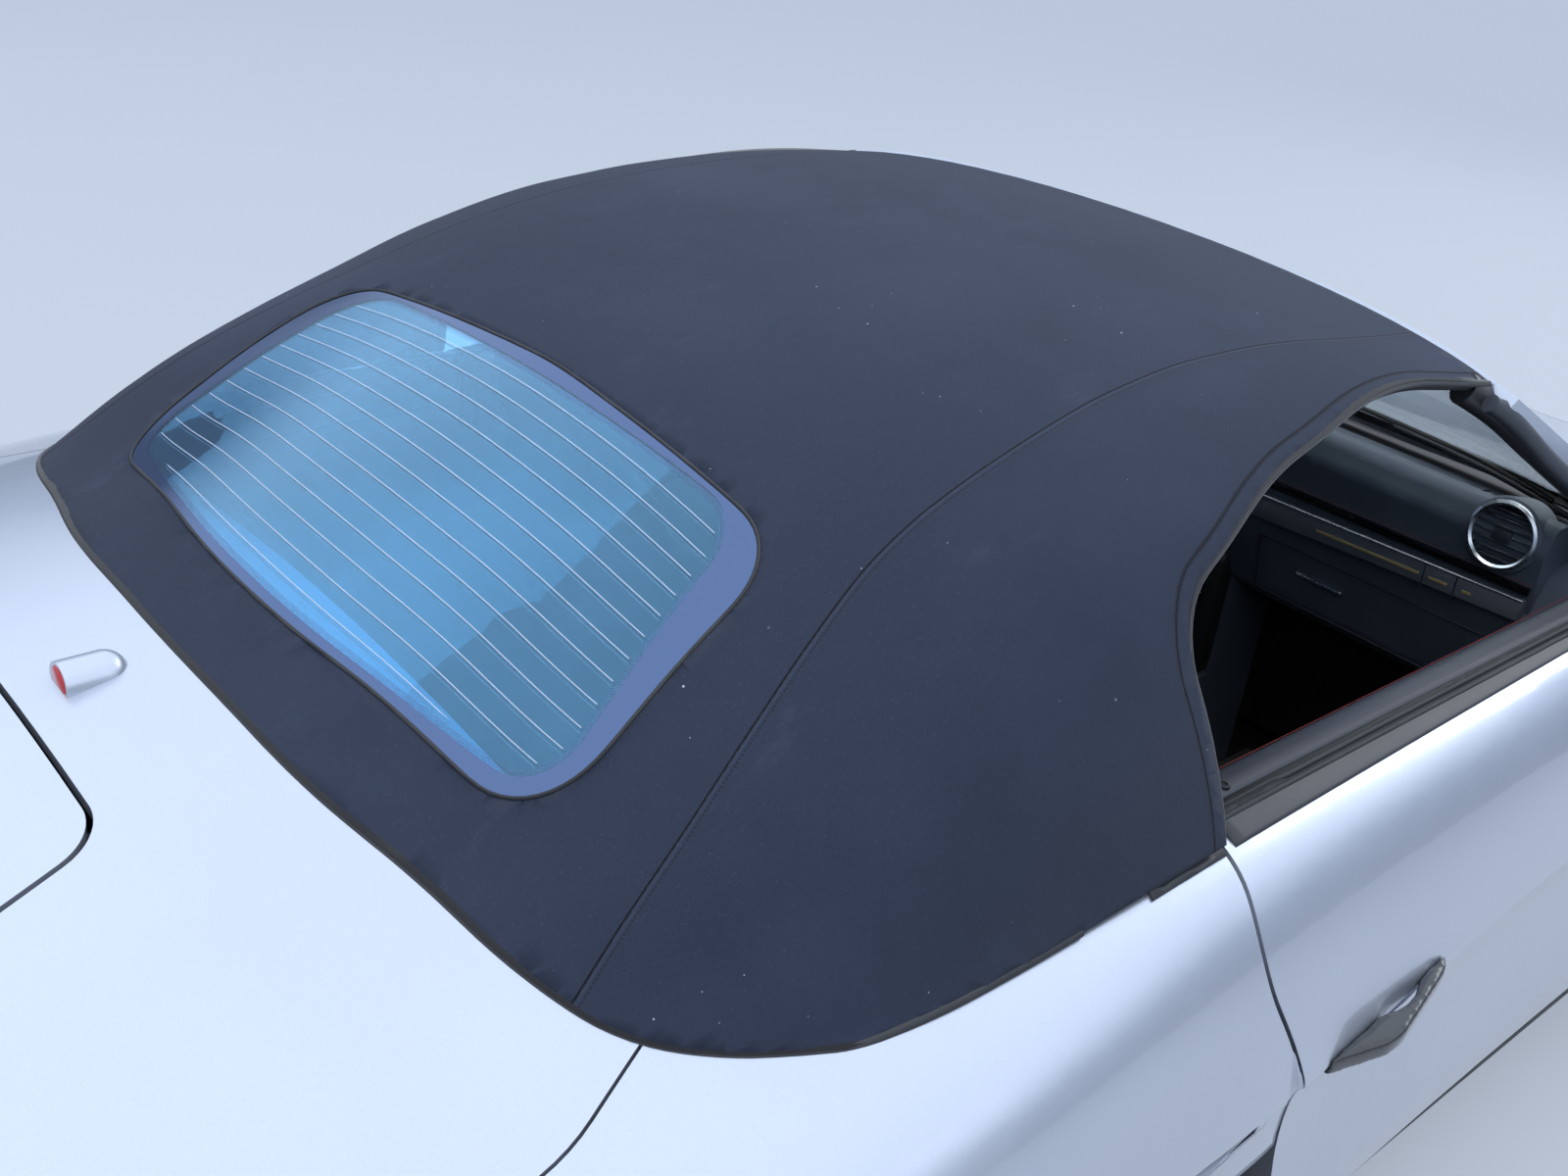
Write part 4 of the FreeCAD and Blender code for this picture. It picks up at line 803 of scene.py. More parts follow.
class CAR_OT_top(bpy.types.Operator):
    """Fabric top: outer cloth, headliner, rolled hems, and rubber lips round its edges"""

    bl_idname = "car.top"
    bl_label = "Fabric top"

    def execute(self, context):
        look = context.scene.car_look
        bm = skin("soft_top", at(0, 2600, 1270))
        if len(bm.faces) < 1000:
            raise RuntimeError("the top's outer face wasn't found")
        header, quarter, tail = (at(0, f, 0).y for f in (2003, 2690, 3190))
        windows, bases, headers = (
            [run for run in chains(bm, belongs) if len(run) > 8] for belongs in (
                lambda p: abs(p.x) > 0.5 and header < p.y < at(0, 2742, 0).y and p.z > 0.900,
                lambda p: (p.y > quarter and p.z < 0.885)
                or p.y > tail and not (abs(p.x) < 0.470 and p.z > 0.960),
                lambda p: p.y < header))
        for axis in range(3):
            sliced(bm, axis, look.slice_step)
        bmesh.ops.dissolve_degenerate(bm, dist=0.0004, edges=bm.edges)
        bmesh.ops.triangulate(bm, faces=[face for face in bm.faces if len(face.verts) > 4])
        bm.normal_update()
        tree = BVHTree.FromBMesh(bm)
        seam = laid(tree, evened([at(*spot) for spot in SIDE_SEAM], 0.012, 6), 0.0)
        edge = [spot for spot, normal in max(windows, key=lambda run: run[0][0].x)]
        seam_runs, edge_runs = lengths(seam), lengths(edge)
        names = ("seam", "seam_run", "hem", "hem_run")
        layers = [bm.verts.layers.float.new(name) for name in names]
        for vert in bm.verts:
            place = Vector((abs(vert.co.x), vert.co.y, vert.co.z))
            gap, run, spot = near_line(place, seam, seam_runs)
            values = (gap if place.x > spot.x else -gap, run,
                      *near_line(place, edge, edge_runs)[:2])
            for layer, value in zip(layers, values):
                vert[layer] = value
        moved = [(vert, self.fall(vert, look)) for vert in bm.verts]
        for vert, fall in moved:
            vert.co -= vert.normal * fall
        top = thicken(add_piece("top_cloth", bm, twill(look)), 0.003)
        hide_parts("soft_top")
        lining = thicken(add_piece("headliner", skin("soft_top", at(0, 2600, 1256)),
                                   cloth("headliner_cloth", (0.014, 0.014, 0.016))), 0.002)
        rolled = cloth("hem_cloth", (0.016, 0.018, 0.024), 1400.0)
        seal = rubber("seal_rubber")
        hems, lips, heads = (
            [evened([spot - normal * sunk for spot, normal in run], 0.014) for run in runs]
            for runs, sunk in ((windows, 0.003), (bases, 0.004), (headers, 0.007)))
        seals = []
        for line in hems:
            side = 1 if line[0].x > 0 else -1
            hollow = at(700 * side, 2330, 1000)
            seals.append([spot + Vector((-0.011 * side, 0, 0))
                          + Vector((0, hollow.y - spot.y, hollow.z - spot.z)).normalized() * 0.004
                          for spot in line])
        hem = beads("top_hems", hems, 0.0032, rolled)
        beads("window_seals", seals, 0.0085, seal, sides=4)
        lip = beads("top_base_lip", lips, 0.0052, seal, sides=3)
        beads("header_seal", heads, 0.0062, seal, sides=3)
        rim = max(chains(skin("rear_window", at(0, 3150, 1120)), lambda spot: True), key=len)
        beads("rear_glass_seal", [evened([spot for spot, normal in rim], 0.012)], 0.0021, seal,
              closed=True, sides=1)
        patch("parcel_shelf", "rear_deck", at(0, 3300, 880),
              ((at(0, 3405, 0), BACK), (at(560, 0, 0), ACROSS),
               (at(-560, 0, 0), -ACROSS)), 0.0012, 0.001,
              cloth("shelf_cloth", (0.012, 0.012, 0.014)))
        return {"FINISHED"}

    def fall(self, vert, look):
        """How far the cloth at a vertex sinks from its bows, with small folds."""
        if any(edge.is_boundary for edge in vert.link_edges):
            return 0.0
        f = (vert.co.y - NOSE_Y) * 1000
        share = 0.0
        for front, rear in zip(BOWS, BOWS[1:]):
            if front <= f <= rear:
                share = math.sin(math.pi * (f - front) / (rear - front)) ** 2
        across = max(1.0 - (abs(vert.co.x) / 0.62) ** 2, 0.0)
        ruck = noise.noise(Vector((vert.co.x * 3.0, vert.co.y * 9.0, vert.co.z * 7.0)))
        side = min(max((abs(vert.co.x) - 0.45) / 0.12, 0.0), 1.0)
        return look.sag * share * across + ruck * 0.0016 * side


class CAR_OT_seals(bpy.types.Operator):
    """Belt trims, window slots, pillar seals and the rubbers along the doors"""

    bl_idname = "car.seals"
    bl_label = "Trims and seals"

    def execute(self, context):
        satin = grained("satin_black", (0.022, 0.023, 0.027), 0.42, 900.0, 0.00004)
        seal = rubber("door_rubber")
        door_tree = {side: nearest_on("door_" + side) for side, sign in SIDES}
        for side, sign in SIDES:
            door = "door_" + side + "_body"
            out = ACROSS * sign
            slant = Vector((sign, -0.0175, 0)).normalized()
            bm = bmesh.new()
            bmesh.ops.create_grid(bm, x_segments=8, y_segments=50, size=0.5)
            for vert in bm.verts:
                across, along = vert.co.x + 0.5, vert.co.y + 0.5
                f = 1668 + 993 * along
                x = 734 + (32 + (f - 2660) * 0.0175) * across
                top = door_tree[side].ray_cast(at(x * sign, f, 1200), -UP)[0]
                vert.co = top + Vector((0, 0, 0.0024 - 0.0016 * across ** 6))
            face_along(bm, UP)
            thicken(add_piece("belt_trim_" + side, bm, satin, door), 0.004)
            patch("quarter_trim_" + side, "quarter_" + side, at(752 * sign, 2740, 888),
                  ((at(768 * sign, 2670, 880), slant), (at(0, 2812, 0), BACK),
                   (at(0, 2669, 0), -BACK),
                   (at(766 * sign, 2800, 880), Vector((-sign * 0.30, 1, 0)).normalized())),
                  0.0026, 0.005, satin)
            patch("window_channel_" + side, "door_" + side, at(729 * sign, 2300, 892),
                  ((at(737 * sign, 0, 0), out), (at(0, 1668, 0), -BACK),
                   (at(0, 2661, 0), BACK), (at(0, 0, 872), -UP)),
                  0.0010, 0.003, seal, door)
            lines = [laid(door_tree[side], [at(x * sign, f, 890) for f in range(1680, 2661, 20)],
                          0.0016) for x in (726, 735.5)]
            beads("window_lips_" + side, lines, 0.0036, seal, door)
            for name, places, radius, finish, corners in (
                    ("pillar_seal_", PILLAR_SEAL, 0.012,
                     rubber("pillar_rubber_" + side, (0.030, 0.035, 0.046), 0.5), 4),
                    ("pillar_lining_", PILLAR_LINING, 0.021, satin, 5)):
                line = evened([at(x * sign, f, z) for x, f, z in places], 0.02)
                beads(name + side, [line], radius, finish, sides=corners)
        return {"FINISHED"}


class CAR_OT_stage(bpy.types.Operator):
    """Pale floor, soft studio lights and the camera at the photograph's angle"""

    bl_idname = "car.stage"
    bl_label = "Stage"

    def execute(self, context):
        bm = bmesh.new()
        bmesh.ops.create_circle(bm, cap_ends=True, radius=FLOOR_RADIUS, segments=64)
        floor = linked("floor", meshed("floor", bm))
        ground = Finish("floor_pale", (0.36, 0.38, 0.42), 0.85)
        ground.clouded(0.7, 4.0, 0.35, 0.75, 0.12, (0.30, 0.32, 0.36))
        glow = ground.node("Emission", None, {"Color": (0.56, 0.63, 0.75, 1.0), "Strength": 1.0})
        lit = ground.output.inputs["Surface"].links[0].from_socket
        pale = ground.node("MixShader", None, {0: 0.55, 1: lit, 2: glow.outputs[0]})
        camera_ray, glossy_ray, transmission_ray = (
            Sum(ground, ground.node("LightPath").outputs["Is %s Ray" % kind])
            for kind in ("Camera", "Glossy", "Transmission"))
        shown = camera_ray.most(glossy_ray).most(transmission_ray)
        seen = ground.node("MixShader", None, {0: shown, 1: lit, 2: pale.outputs[0]})
        ground.feed(ground.output.inputs["Surface"], seen.outputs[0])
        floor.data.materials.append(ground.material)

        world = bpy.data.worlds.new("studio")
        context.scene.world = world
        world.use_nodes = True
        nodes, links = world.node_tree.nodes, world.node_tree.links
        sky = nodes["Background"]
        sky.inputs["Strength"].default_value = 1.5
        way, height, ramp = (nodes.new("ShaderNode" + kind)
                             for kind in ("TexCoord", "SeparateXYZ", "ValToRGB"))
        links.new(way.outputs["Generated"], height.inputs[0])
        links.new(height.outputs["Z"], ramp.inputs[0])
        links.new(ramp.outputs[0], sky.inputs["Color"])
        stops = ramp.color_ramp.elements
        stops[0].position, stops[0].color = 0.0, (0.085, 0.11, 0.16, 1.0)
        stops[1].position, stops[1].color = 0.45, (0.74, 0.84, 1.0, 1.0)
        stops.new(0.22).color = (0.16, 0.21, 0.30, 1.0)
        for name, place, size, power, colour in (
                ("overhead", (-1.2, 1.6, 6.5), 6.0, 330.0, (1.0, 0.98, 0.95)),
                ("beside", (6.0, 1.6, 5.0), 6.0, 130.0, (0.80, 0.90, 1.0)),
                ("front", (0.0, -7.0, 4.0), 5.0, 150.0, (1.0, 1.0, 1.0)),
                ("low", (-6.0, -1.0, 2.6), 4.0, 12.0, (0.90, 0.95, 1.0))):
            light = bpy.data.lights.new(name, "AREA")
            light.energy, light.size, light.color = power, size, colour
            lamp = linked(name, light)
            lamp.location = place
            lamp.visible_glossy = name not in ("overhead", "beside")
            lamp.rotation_euler = (-Vector(place)).to_track_quat("-Z", "Y").to_euler()

        yaw, pitch, roll = CAMERA_TURN
        forward = Vector((math.sin(yaw) * math.cos(pitch), -math.cos(yaw) * math.cos(pitch),
                          -math.sin(pitch)))
        level = forward.cross(UP).normalized()
        upright = level.cross(forward)
        right = level * math.cos(roll) + upright * math.sin(roll)
        up = upright * math.cos(roll) - level * math.sin(roll)
        data = bpy.data.cameras.new("camera")
        data.sensor_width = 36.0
        data.lens = data.sensor_width * FOCAL_PIXELS / PHOTO_WIDTH
        data.clip_start = 0.02
        camera = linked("camera", data)
        camera.matrix_world = Matrix.Translation(CAMERA_PLACE) \
            @ Matrix((right, up, -forward)).transposed().to_4x4()
        context.scene.camera = camera
        context.scene.view_settings.view_transform = "Standard"
        return {"FINISHED"}


class CAR_OT_cabin(bpy.types.Operator):
    """Dashboard pad seam, vents, inlaid strip, dials, screen, console and carpets"""

    bl_idname = "car.cabin"
    bl_label = "Dashboard and console"

    def execute(self, context):
        look = context.scene.car_look
        thread = cloth("red_thread", tuple(look.stitch_colour), 2000.0, 0.0001)
        silver = metal("satin_silver", (0.72, 0.74, 0.77), 0.26)
        brass = glossy("inlay_brass", (0.30, 0.23, 0.11), 0.35)
        dark = glossy("strip_dark", (0.085, 0.095, 0.115), 0.30)
        black = grained("vent_black", (0.026, 0.030, 0.038), 0.4)
        # Lightened, bluish hide on the dash, vent pods, armrest and gear lever: painted sky light
        hide = grained("dash_hide_painted_skylight", (0.060, 0.075, 0.100), 0.55, 520.0)
        gloss = glossy("screen_black", (0.003, 0.003, 0.004), 0.04)
        seam = [at(-x, f, 905) for x, f in ((110, 1600), (202, 1611), (278, 1612), (340, 1618),
                                            (374, 1604), (392, 1560), (398, 1500), (400, 1430))]
        beads("dash_pad_seams", [laid(nearest_on("dashboard"), evened(seam, 0.01, 8), 0.0008)],
              0.0019, black, sides=1)
        rows = [[at(x * sign, 1707 - (x - 150) * 0.002, 838 + x * 0.014) for x in (150, 612)]
                for sign in (1, -1)]
        stitches("dash_stitches", rows, 0.0030, 0.0052, 0.0007, thread)
        for side, sign in SIDES:
            # Plates: inner x with its two heights, outer x with its two, front and rear f, bevel
            for name, x, low, high, x2, high2, low2, front, rear, bevel, finish in (
                    ("band", 140, 822, 834, 606, 842, 830, 1690, 1707.5, 1.0, gloss),
                    ("strip", 142, 766, 806, 604, 822, 789, 1672, 1710, 2.0, dark),
                    ("inlay_long", 268, 787, 791.5, 446, 798, 793.5, 1700, 1711.4, 0.5, brass),
                    ("inlay_short", 462, 794, 798.5, 492, 799.5, 795, 1700, 1711.4, 0.5, brass),
                    ("inlay_tiny", 516, 796, 800.5, 530, 801, 796.5, 1700, 1711.4, 0.5, brass),
                    ("shut_line_a", 452, 776, 817, 454.4, 817, 776, 1700, 1710.8, 0.0, black),
                    ("shut_line_b", 503, 778, 818, 505.4, 818, 778, 1700, 1710.8, 0.0, black)):
                outline = [at(across * sign, front, z) for across, z in
                           ((x, low), (x, high), (x2, high2), (x2, low2))]
                shape("dash_%s_%s" % (name, side), finish,
                      (add_plate, outline, Vector((0, (rear - front) / 1000, 0)), bevel / 1000))
            beads("strip_line_" + side,
                  [[at(142 * sign, 1710.5, 806), at(604 * sign, 1710.5, 822)]], 0.0016, silver)
        for name, x in (("right", -545), ("left", 545), ("middle_right", -70),
                        ("middle_left", 70)):
            self.vent(name, at(x, 1709, 903), silver, black, hide)
        self.dials(black, silver, gloss)
        console = grained("console_black", (0.012, 0.012, 0.013), 0.45)
        carpet = cloth("carpet", (0.012, 0.012, 0.014), 700.0, 0.0012)
        buttons = [(-78 + k * 42, 1671, 560 + row * 26, -44 + k * 42, 1677, 578 + row * 26, 2, 3)
                   for row in range(3) for k in range(4)]
        # Blocks: low corner, high corner, bevel, its segments
        for name, finish, blocks in (
                ("console_screen", gloss, ((-98, 1680, 668, 98, 1700, 782, 6, 3),)),
                ("console_cover", console, ((-104, 1500, 418, 104, 2300, 446, 14, 3),
                                            (-104, 1600, 430, 104, 1672, 660, 16, 3))),
                ("console_buttons", gloss, buttons),
                ("glovebox_pull", silver, ((-319, 1655, 684, -234, 1674, 692, 3, 3),)),
                ("console_armrest", hide, ((-98, 2330, 418, 98, 2640, 480, 22, 4),)),
                ("carpets", carpet, ((-620, 2000, 190, -116, 2730, 198, 3, 2),
                                     (116, 2000, 190, 620, 2730, 198, 3, 2),
                                     (-620, 1440, 190, -116, 2000, 198, 3, 2),
                                     (116, 1440, 190, 620, 2000, 198, 3, 2),
                                     (-620, 2762, 700, 620, 2950, 856, 3, 2)))):
            made = shape(name, finish, *((add_block, at(*row[:3]), at(*row[3:6]), row[6] / 1000,
                                          row[7]) for row in blocks))
        shape("gear_lever", hide,
              (add_round, at(0, 1900, 440), at(0, 1892, 500), 0.034, 0.012, 20),
              (add_block, at(-22, 1866, 496), at(22, 1918, 560), 0.016, 4))
        beads("glovebox_lines", [[at(-560, 1652, 625), at(-560, 1683, 735), at(-160, 1683, 730),
                                  at(-160, 1652, 625), at(-560, 1652, 625)]], 0.0016, black)
        pedals = []
        for x, width in ((300, 34), (392, 52), (470, 52)):
            pedals += [(add_block, at(x - width / 2, 1600, 330), at(x + width / 2, 1610, 400),
                        0.004, 2, Matrix.Rotation(0.5, 4, "X")),
                       (add_round, at(x, 1590, 380), at(x, 1500, 520), 0.007)]
        shape("pedals", silver, *pedals)
        shape("inner_mirror", black,
              (add_plate, ellipse(at(0, 1935, 1150), ACROSS * 0.115, Vector((0, 0.006, 0.031))),
               Vector((0, -0.024, 0.004)), 0.006, 3),
              (add_round, at(0, 1914, 1160), at(0, 1905, 1206), 0.008))
        shape("inner_mirror_glass", metal("mirror_silver", (0.80, 0.82, 0.84), 0.08),
              (add_plate, ellipse(at(0, 1936, 1150), ACROSS * 0.108, Vector((0, 0.005, 0.026))),
               BACK * 0.0022))
        return {"FINISHED"}

    def vent(self, name, middle, silver, black, hide):
        """A round outlet: pod, bright ring, slats and a centre tab."""
        out = Vector((0.0, 1.0, 0.16)).normalized()
        up = Vector((0.0, -0.16, 1.0)).normalized()
        shape("vent_pod_" + name, hide, (add_turned, (
            (-0.075, 0.0), (-0.075, 0.050), (-0.012, 0.0565), (-0.003, 0.0555), (0.001, 0.051),
            (-0.004, 0.046), (-0.030, 0.044), (-0.030, 0.0)), middle, out, 40))
        shape("vent_ring_" + name, silver, (add_turned, (
            (-0.004, 0.0435), (0.003, 0.0435), (0.006, 0.047), (0.004, 0.0512), (-0.002, 0.0522),
            (-0.004, 0.0435)), middle, out, 48))
        turn = Matrix((ACROSS, out, up)).transposed().to_4x4()
        radius, pitch = 0.0435, 0.0115
        slats = [(middle + up * (pitch * k) - out * 0.006,
                  Vector((math.sqrt(radius ** 2 - (pitch * k) ** 2), 0.008, 0.0016)), 0.001, 1)
                 for k in range(-3, 4)]
        slats.append((middle, Vector((0.014, 0.005, 0.0085)), 0.0025, 2))
        shape("vent_slats_" + name, black, *((add_block, spot - size, spot + size, bevel, segments,
                                              turn) for spot, size, bevel, segments in slats))

    def dials(self, black, silver, gloss):
        """The hood over the dials, three round faces with rings, ticks and needles."""
        shape("dial_hood", grained("hood_hide", (0.018, 0.020, 0.024), 0.6),
              (add_plate, ellipse(at(370, 1668, 912), ACROSS * 0.168, UP * 0.066, 40),
               BACK * 0.070, 0.010, 3))
        rings, faces, marks = [], [], []
        for x, radius in ((268, 0.042), (370, 0.054), (472, 0.042)):
            spot = at(x, 1738, 912)
            rings.append((add_turned, ((0.0, radius), (0.004, radius), (0.004, radius - 0.003),
                                       (0.0, radius - 0.003), (0.0, radius)), spot, BACK, 40))
            faces.append((add_round, spot, spot + BACK * 0.0012, radius - 0.002, None, 40))
            for k in range(25):
                turn = math.radians(-30 + 240 * k / 24)
                ray = Vector((math.cos(turn), 0, math.sin(turn))) * radius
                foot = spot + BACK * 0.0014
                marks.append((add_round, foot + ray * (0.74 if k % 4 == 0 else 0.82),
                              foot + ray * 0.90, 0.0006, None, 4))
            tip = spot + Vector((-radius * 0.55, 0.003, radius * 0.45))
            marks.append((add_round, spot + BACK * 0.003, tip, 0.0012, 0.0005, 6))
        shape("dial_rings", silver, *rings)
        shape("dial_faces", gloss, *faces)
        shape("dial_marks", glossy("dial_white", (0.7, 0.7, 0.7), 0.4), *marks)


class CAR_OT_doors(bpy.types.Operator):
    """Door pads with their stitched edge, lock pins, cards, armrests and mirrors' glass"""

    bl_idname = "car.doors"
    bl_label = "Door linings"

    def execute(self, context):
        look = context.scene.car_look
        hide = grained("door_hide", (0.024, 0.027, 0.037), 0.5, 520.0)
        card = grained("door_card", (0.011, 0.011, 0.012), 0.6)
        black = rubber("slot_rubber", (0.008, 0.008, 0.009), 0.5)
        thread = cloth("door_thread", tuple(look.stitch_colour), 2000.0, 0.0001)
        glass = metal("mirror_glass", (0.80, 0.84, 0.88), 0.06)
        grille = metal("speaker_mesh", (0.03, 0.03, 0.032), 0.5)
        pad = ((714, 800), (714, 884), (709, 890.5), (697, 893), (682, 891), (671, 883.5),
               (666, 868), (666, 836), (676, 806))
        for side, sign in SIDES:
            body = "door_" + side + "_body"
            bm = bmesh.new()
            add_plate(bm, [at(x * sign, 1662, z) for x, z in pad], Vector((0, 0.978, 0)), 0.005, 3)
            cut(bm, at(0, 2200, 0), BACK)
            for vert in bm.verts:
                # The pad's front end falls as the door's top edge does
                vert.co.z -= max(at(0, 2550, 0).y - vert.co.y, 0.0) * 0.0145
            add_piece("door_pad_" + side, bm, hide, body, 50.0)
            line = [at(669.4 * sign, f, z) for f, z in ((1676, 869), (2550, 881.5), (2630, 881.5))]
            stitches("door_stitches_" + side, [line], 0.0030, 0.0052, 0.0007, thread, body)
            for name, finish, x, outline, depth, bevel, segments in (
                    ("window_slot_", black, 712,
                     ((1664, 780), (1664, 875), (1900, 881), (2200, 886), (2550, 889.5),
                      (2661, 889.5), (2661, 780)), 0.014, 0.0014, 2),
                    ("door_card_", card, 722,
                     ((1668, 300), (2520, 300), (2568, 520), (2640, 760), (2640, 806),
                      (1668, 806)), -0.024, 0.006, 2),
                    ("door_armrest_", hide, 702,
                     ((1900, 540), (1960, 600), (2340, 622), (2400, 600), (2390, 560),
                      (2200, 520)), -0.058, 0.012, 3)):
                rim = [at(x * sign, f, z) for f, z in outline]
                shape(name + side, finish,
                      (add_plate, rim, ACROSS * (depth * sign), bevel, segments), body=body)
            shape("lock_pin_" + side, black, (add_turned, (
                (0.0, 0.0), (0.0, 0.0075), (0.0026, 0.0070), (0.0030, 0.0045), (0.0018, 0.0040),
                (0.0018, 0.0)), at(700 * sign, 2596, 891), UP, 24), body=body)
            shape("door_speaker_" + side, grille, (add_turned, (
                (0.0, 0.0), (0.0, 0.082), (0.006, 0.084), (0.008, 0.078), (0.005, 0.07),
                (0.007, 0.03), (0.007, 0.0)), at(698 * sign, 1800, 420), ACROSS * -sign, 40),
                body=body)
            bm = bmesh.new()
            outline = ((822, 925), (962, 933), (952, 1006), (830, 1010))
            add_plate(bm, [at(x * sign, 1739.2, z) for x, z in outline], Vector((0, 0.0016, 0)))
            rounded(bm, [edge for edge in bm.edges
                         if abs((edge.verts[0].co - edge.verts[1].co).y) > 0.001], 0.022, 5)
            add_piece("mirror_glass_" + side, bm, glass, body)
        return {"FINISHED"}


class CAR_OT_seats(bpy.types.Operator):
    """Padded seats: remeshed from their CAD form, crowned and channelled, with seams"""

    bl_idname = "car.seats"
    bl_label = "Seats"

    def execute(self, context):
        look = context.scene.car_look
        hide = grained("seat_hide", (0.014, 0.014, 0.016), 0.45, 620.0)
        hide_thread = cloth("seat_thread", tuple(look.stitch_colour), 2000.0, 0.0001)
        seam_place, channel_pitch = 0.150, 62.0
        for side, sign in SIDES:
            seat = add_piece("seat_pad_" + side, node_copy("seat_" + side), hide)
            mesh, bm = remeshed(seat, 0.011, 7)
            middle = 0.370 * sign
            for vert in bm.verts:
                across = abs(vert.co.x - middle)
                f = (vert.co.y - NOSE_Y) * 1000
                along = vert.co.z * 1000 if f > 2440 and vert.co.z > 0.47 else f
                wave = abs(math.sin(math.pi * along / channel_pitch)) ** 0.5
                panel = max(1.0 - (across / 0.145) ** 6, 0.0)
                seam = math.exp(-((across - seam_place) / 0.009) ** 2)
                facing = max(vert.normal.z, -vert.normal.y, 0.0)
                vert.co += vert.normal * (((wave - 0.75) * 0.009 * panel - 0.009 * seam) * facing)
            smooth(bm, 0.3)
            bm.to_mesh(mesh)
            bm.free()
            mesh.shade_smooth()
            fine = seat.modifiers.new("fine", "SUBSURF")
            fine.levels = fine.render_levels = 1
            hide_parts("seat_" + side)
            tree = BVHTree.FromPolygons([v.co for v in mesh.vertices],
                                        [p.vertices for p in mesh.polygons])
            rows = []
            for x in (middle - seam_place, middle + seam_place):
                front = [Vector((x, at(0, f, 0).y, 0.52)) for f in range(2110, 2500, 15)]
                back = [at(0, 2500 + (z - 500) * 0.2, z) + Vector((x, 0, 0))
                        for z in range(540, 840, 15)]
                rows += [laid(tree, front, 0.0004), laid(tree, back, 0.0004)]
            stitches("seat_stitches_" + side, rows, 0.0040, 0.0062, 0.0009, hide_thread)
        return {"FINISHED"}


class CAR_OT_fittings(bpy.types.Operator):
    """Door handles, mirror housings and steering wheel rounded off, and the quarters' blades"""

    bl_idname = "car.fittings"
    bl_label = "Handles, mirrors and quarter blades"

    def execute(self, context):
        look = context.scene.car_look
        silver = paint(look)
        gloss = glossy("handle_black", (0.006, 0.006, 0.007), 0.07)
        hide = grained("wheel_hide", (0.012, 0.012, 0.013), 0.42, 700.0)
        for node, body, voxel, turns, finish in (
                ("door_handle_left", "door_left_body", 0.0026, 9, gloss),
                ("door_handle_right", "door_right_body", 0.0026, 9, gloss),
                ("mirror_left", "door_left_body", 0.0042, 6, silver),
                ("mirror_right", "door_right_body", 0.0042, 6, silver),
                ("steering_wheel", "steering_wheel_body", 0.0030, 4, hide)):
            piece = add_piece(node + "_smooth", node_copy(node), finish, body)
            mesh, bm = remeshed(piece, voxel, turns)
            bm.to_mesh(mesh)
            bm.free()
            mesh.shade_smooth()
            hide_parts(node)
        for side, sign in SIDES:
            self.blade(side, sign, silver)
        return {"FINISHED"}

    def blade(self, side, sign, silver):
        """A sheet from the door's rear edge to the side intake, laid on the quarter behind it."""
        door, quarter = nearest_on("door_" + side), nearest_on("quarter_" + side)

        def hit(tree, f, z):
            return tree.ray_cast(at(1100 * sign, f, z), ACROSS * -sign)[0]

        bm = bmesh.new()
        bmesh.ops.create_grid(bm, x_segments=24, y_segments=20, size=0.5)
        free = []
        for vert in bm.verts:
            across, z = vert.co.x + 0.5, 500 + 200 * (vert.co.y + 0.5)
            edge = max((f for f in range(2560, 2720, 2) if hit(door, f, z)), default=2600)
            start = edge + 5.5
            f = start + ((2762 if z < 590 else 2672) - start) * across
            vert.co = at(1100 * sign, f, z)
            spot = hit(quarter, f, z)
            if spot is None or abs(spot.x) < 0.78:
                spot = hit(door, edge - 8, z) if across < 0.01 else None
            if spot is None:
                free.append(vert)
            vert.co.x = 0.86 * sign if spot is None else spot.x - 0.0002 * sign
        for _ in range(300):
            bmesh.ops.smooth_vert(bm, verts=free, factor=0.5, use_axis_x=True,
                                  use_axis_y=False, use_axis_z=False)
        face_along(bm, ACROSS * sign)
        thicken(add_piece("quarter_blade_" + side, bm, silver), 0.003)


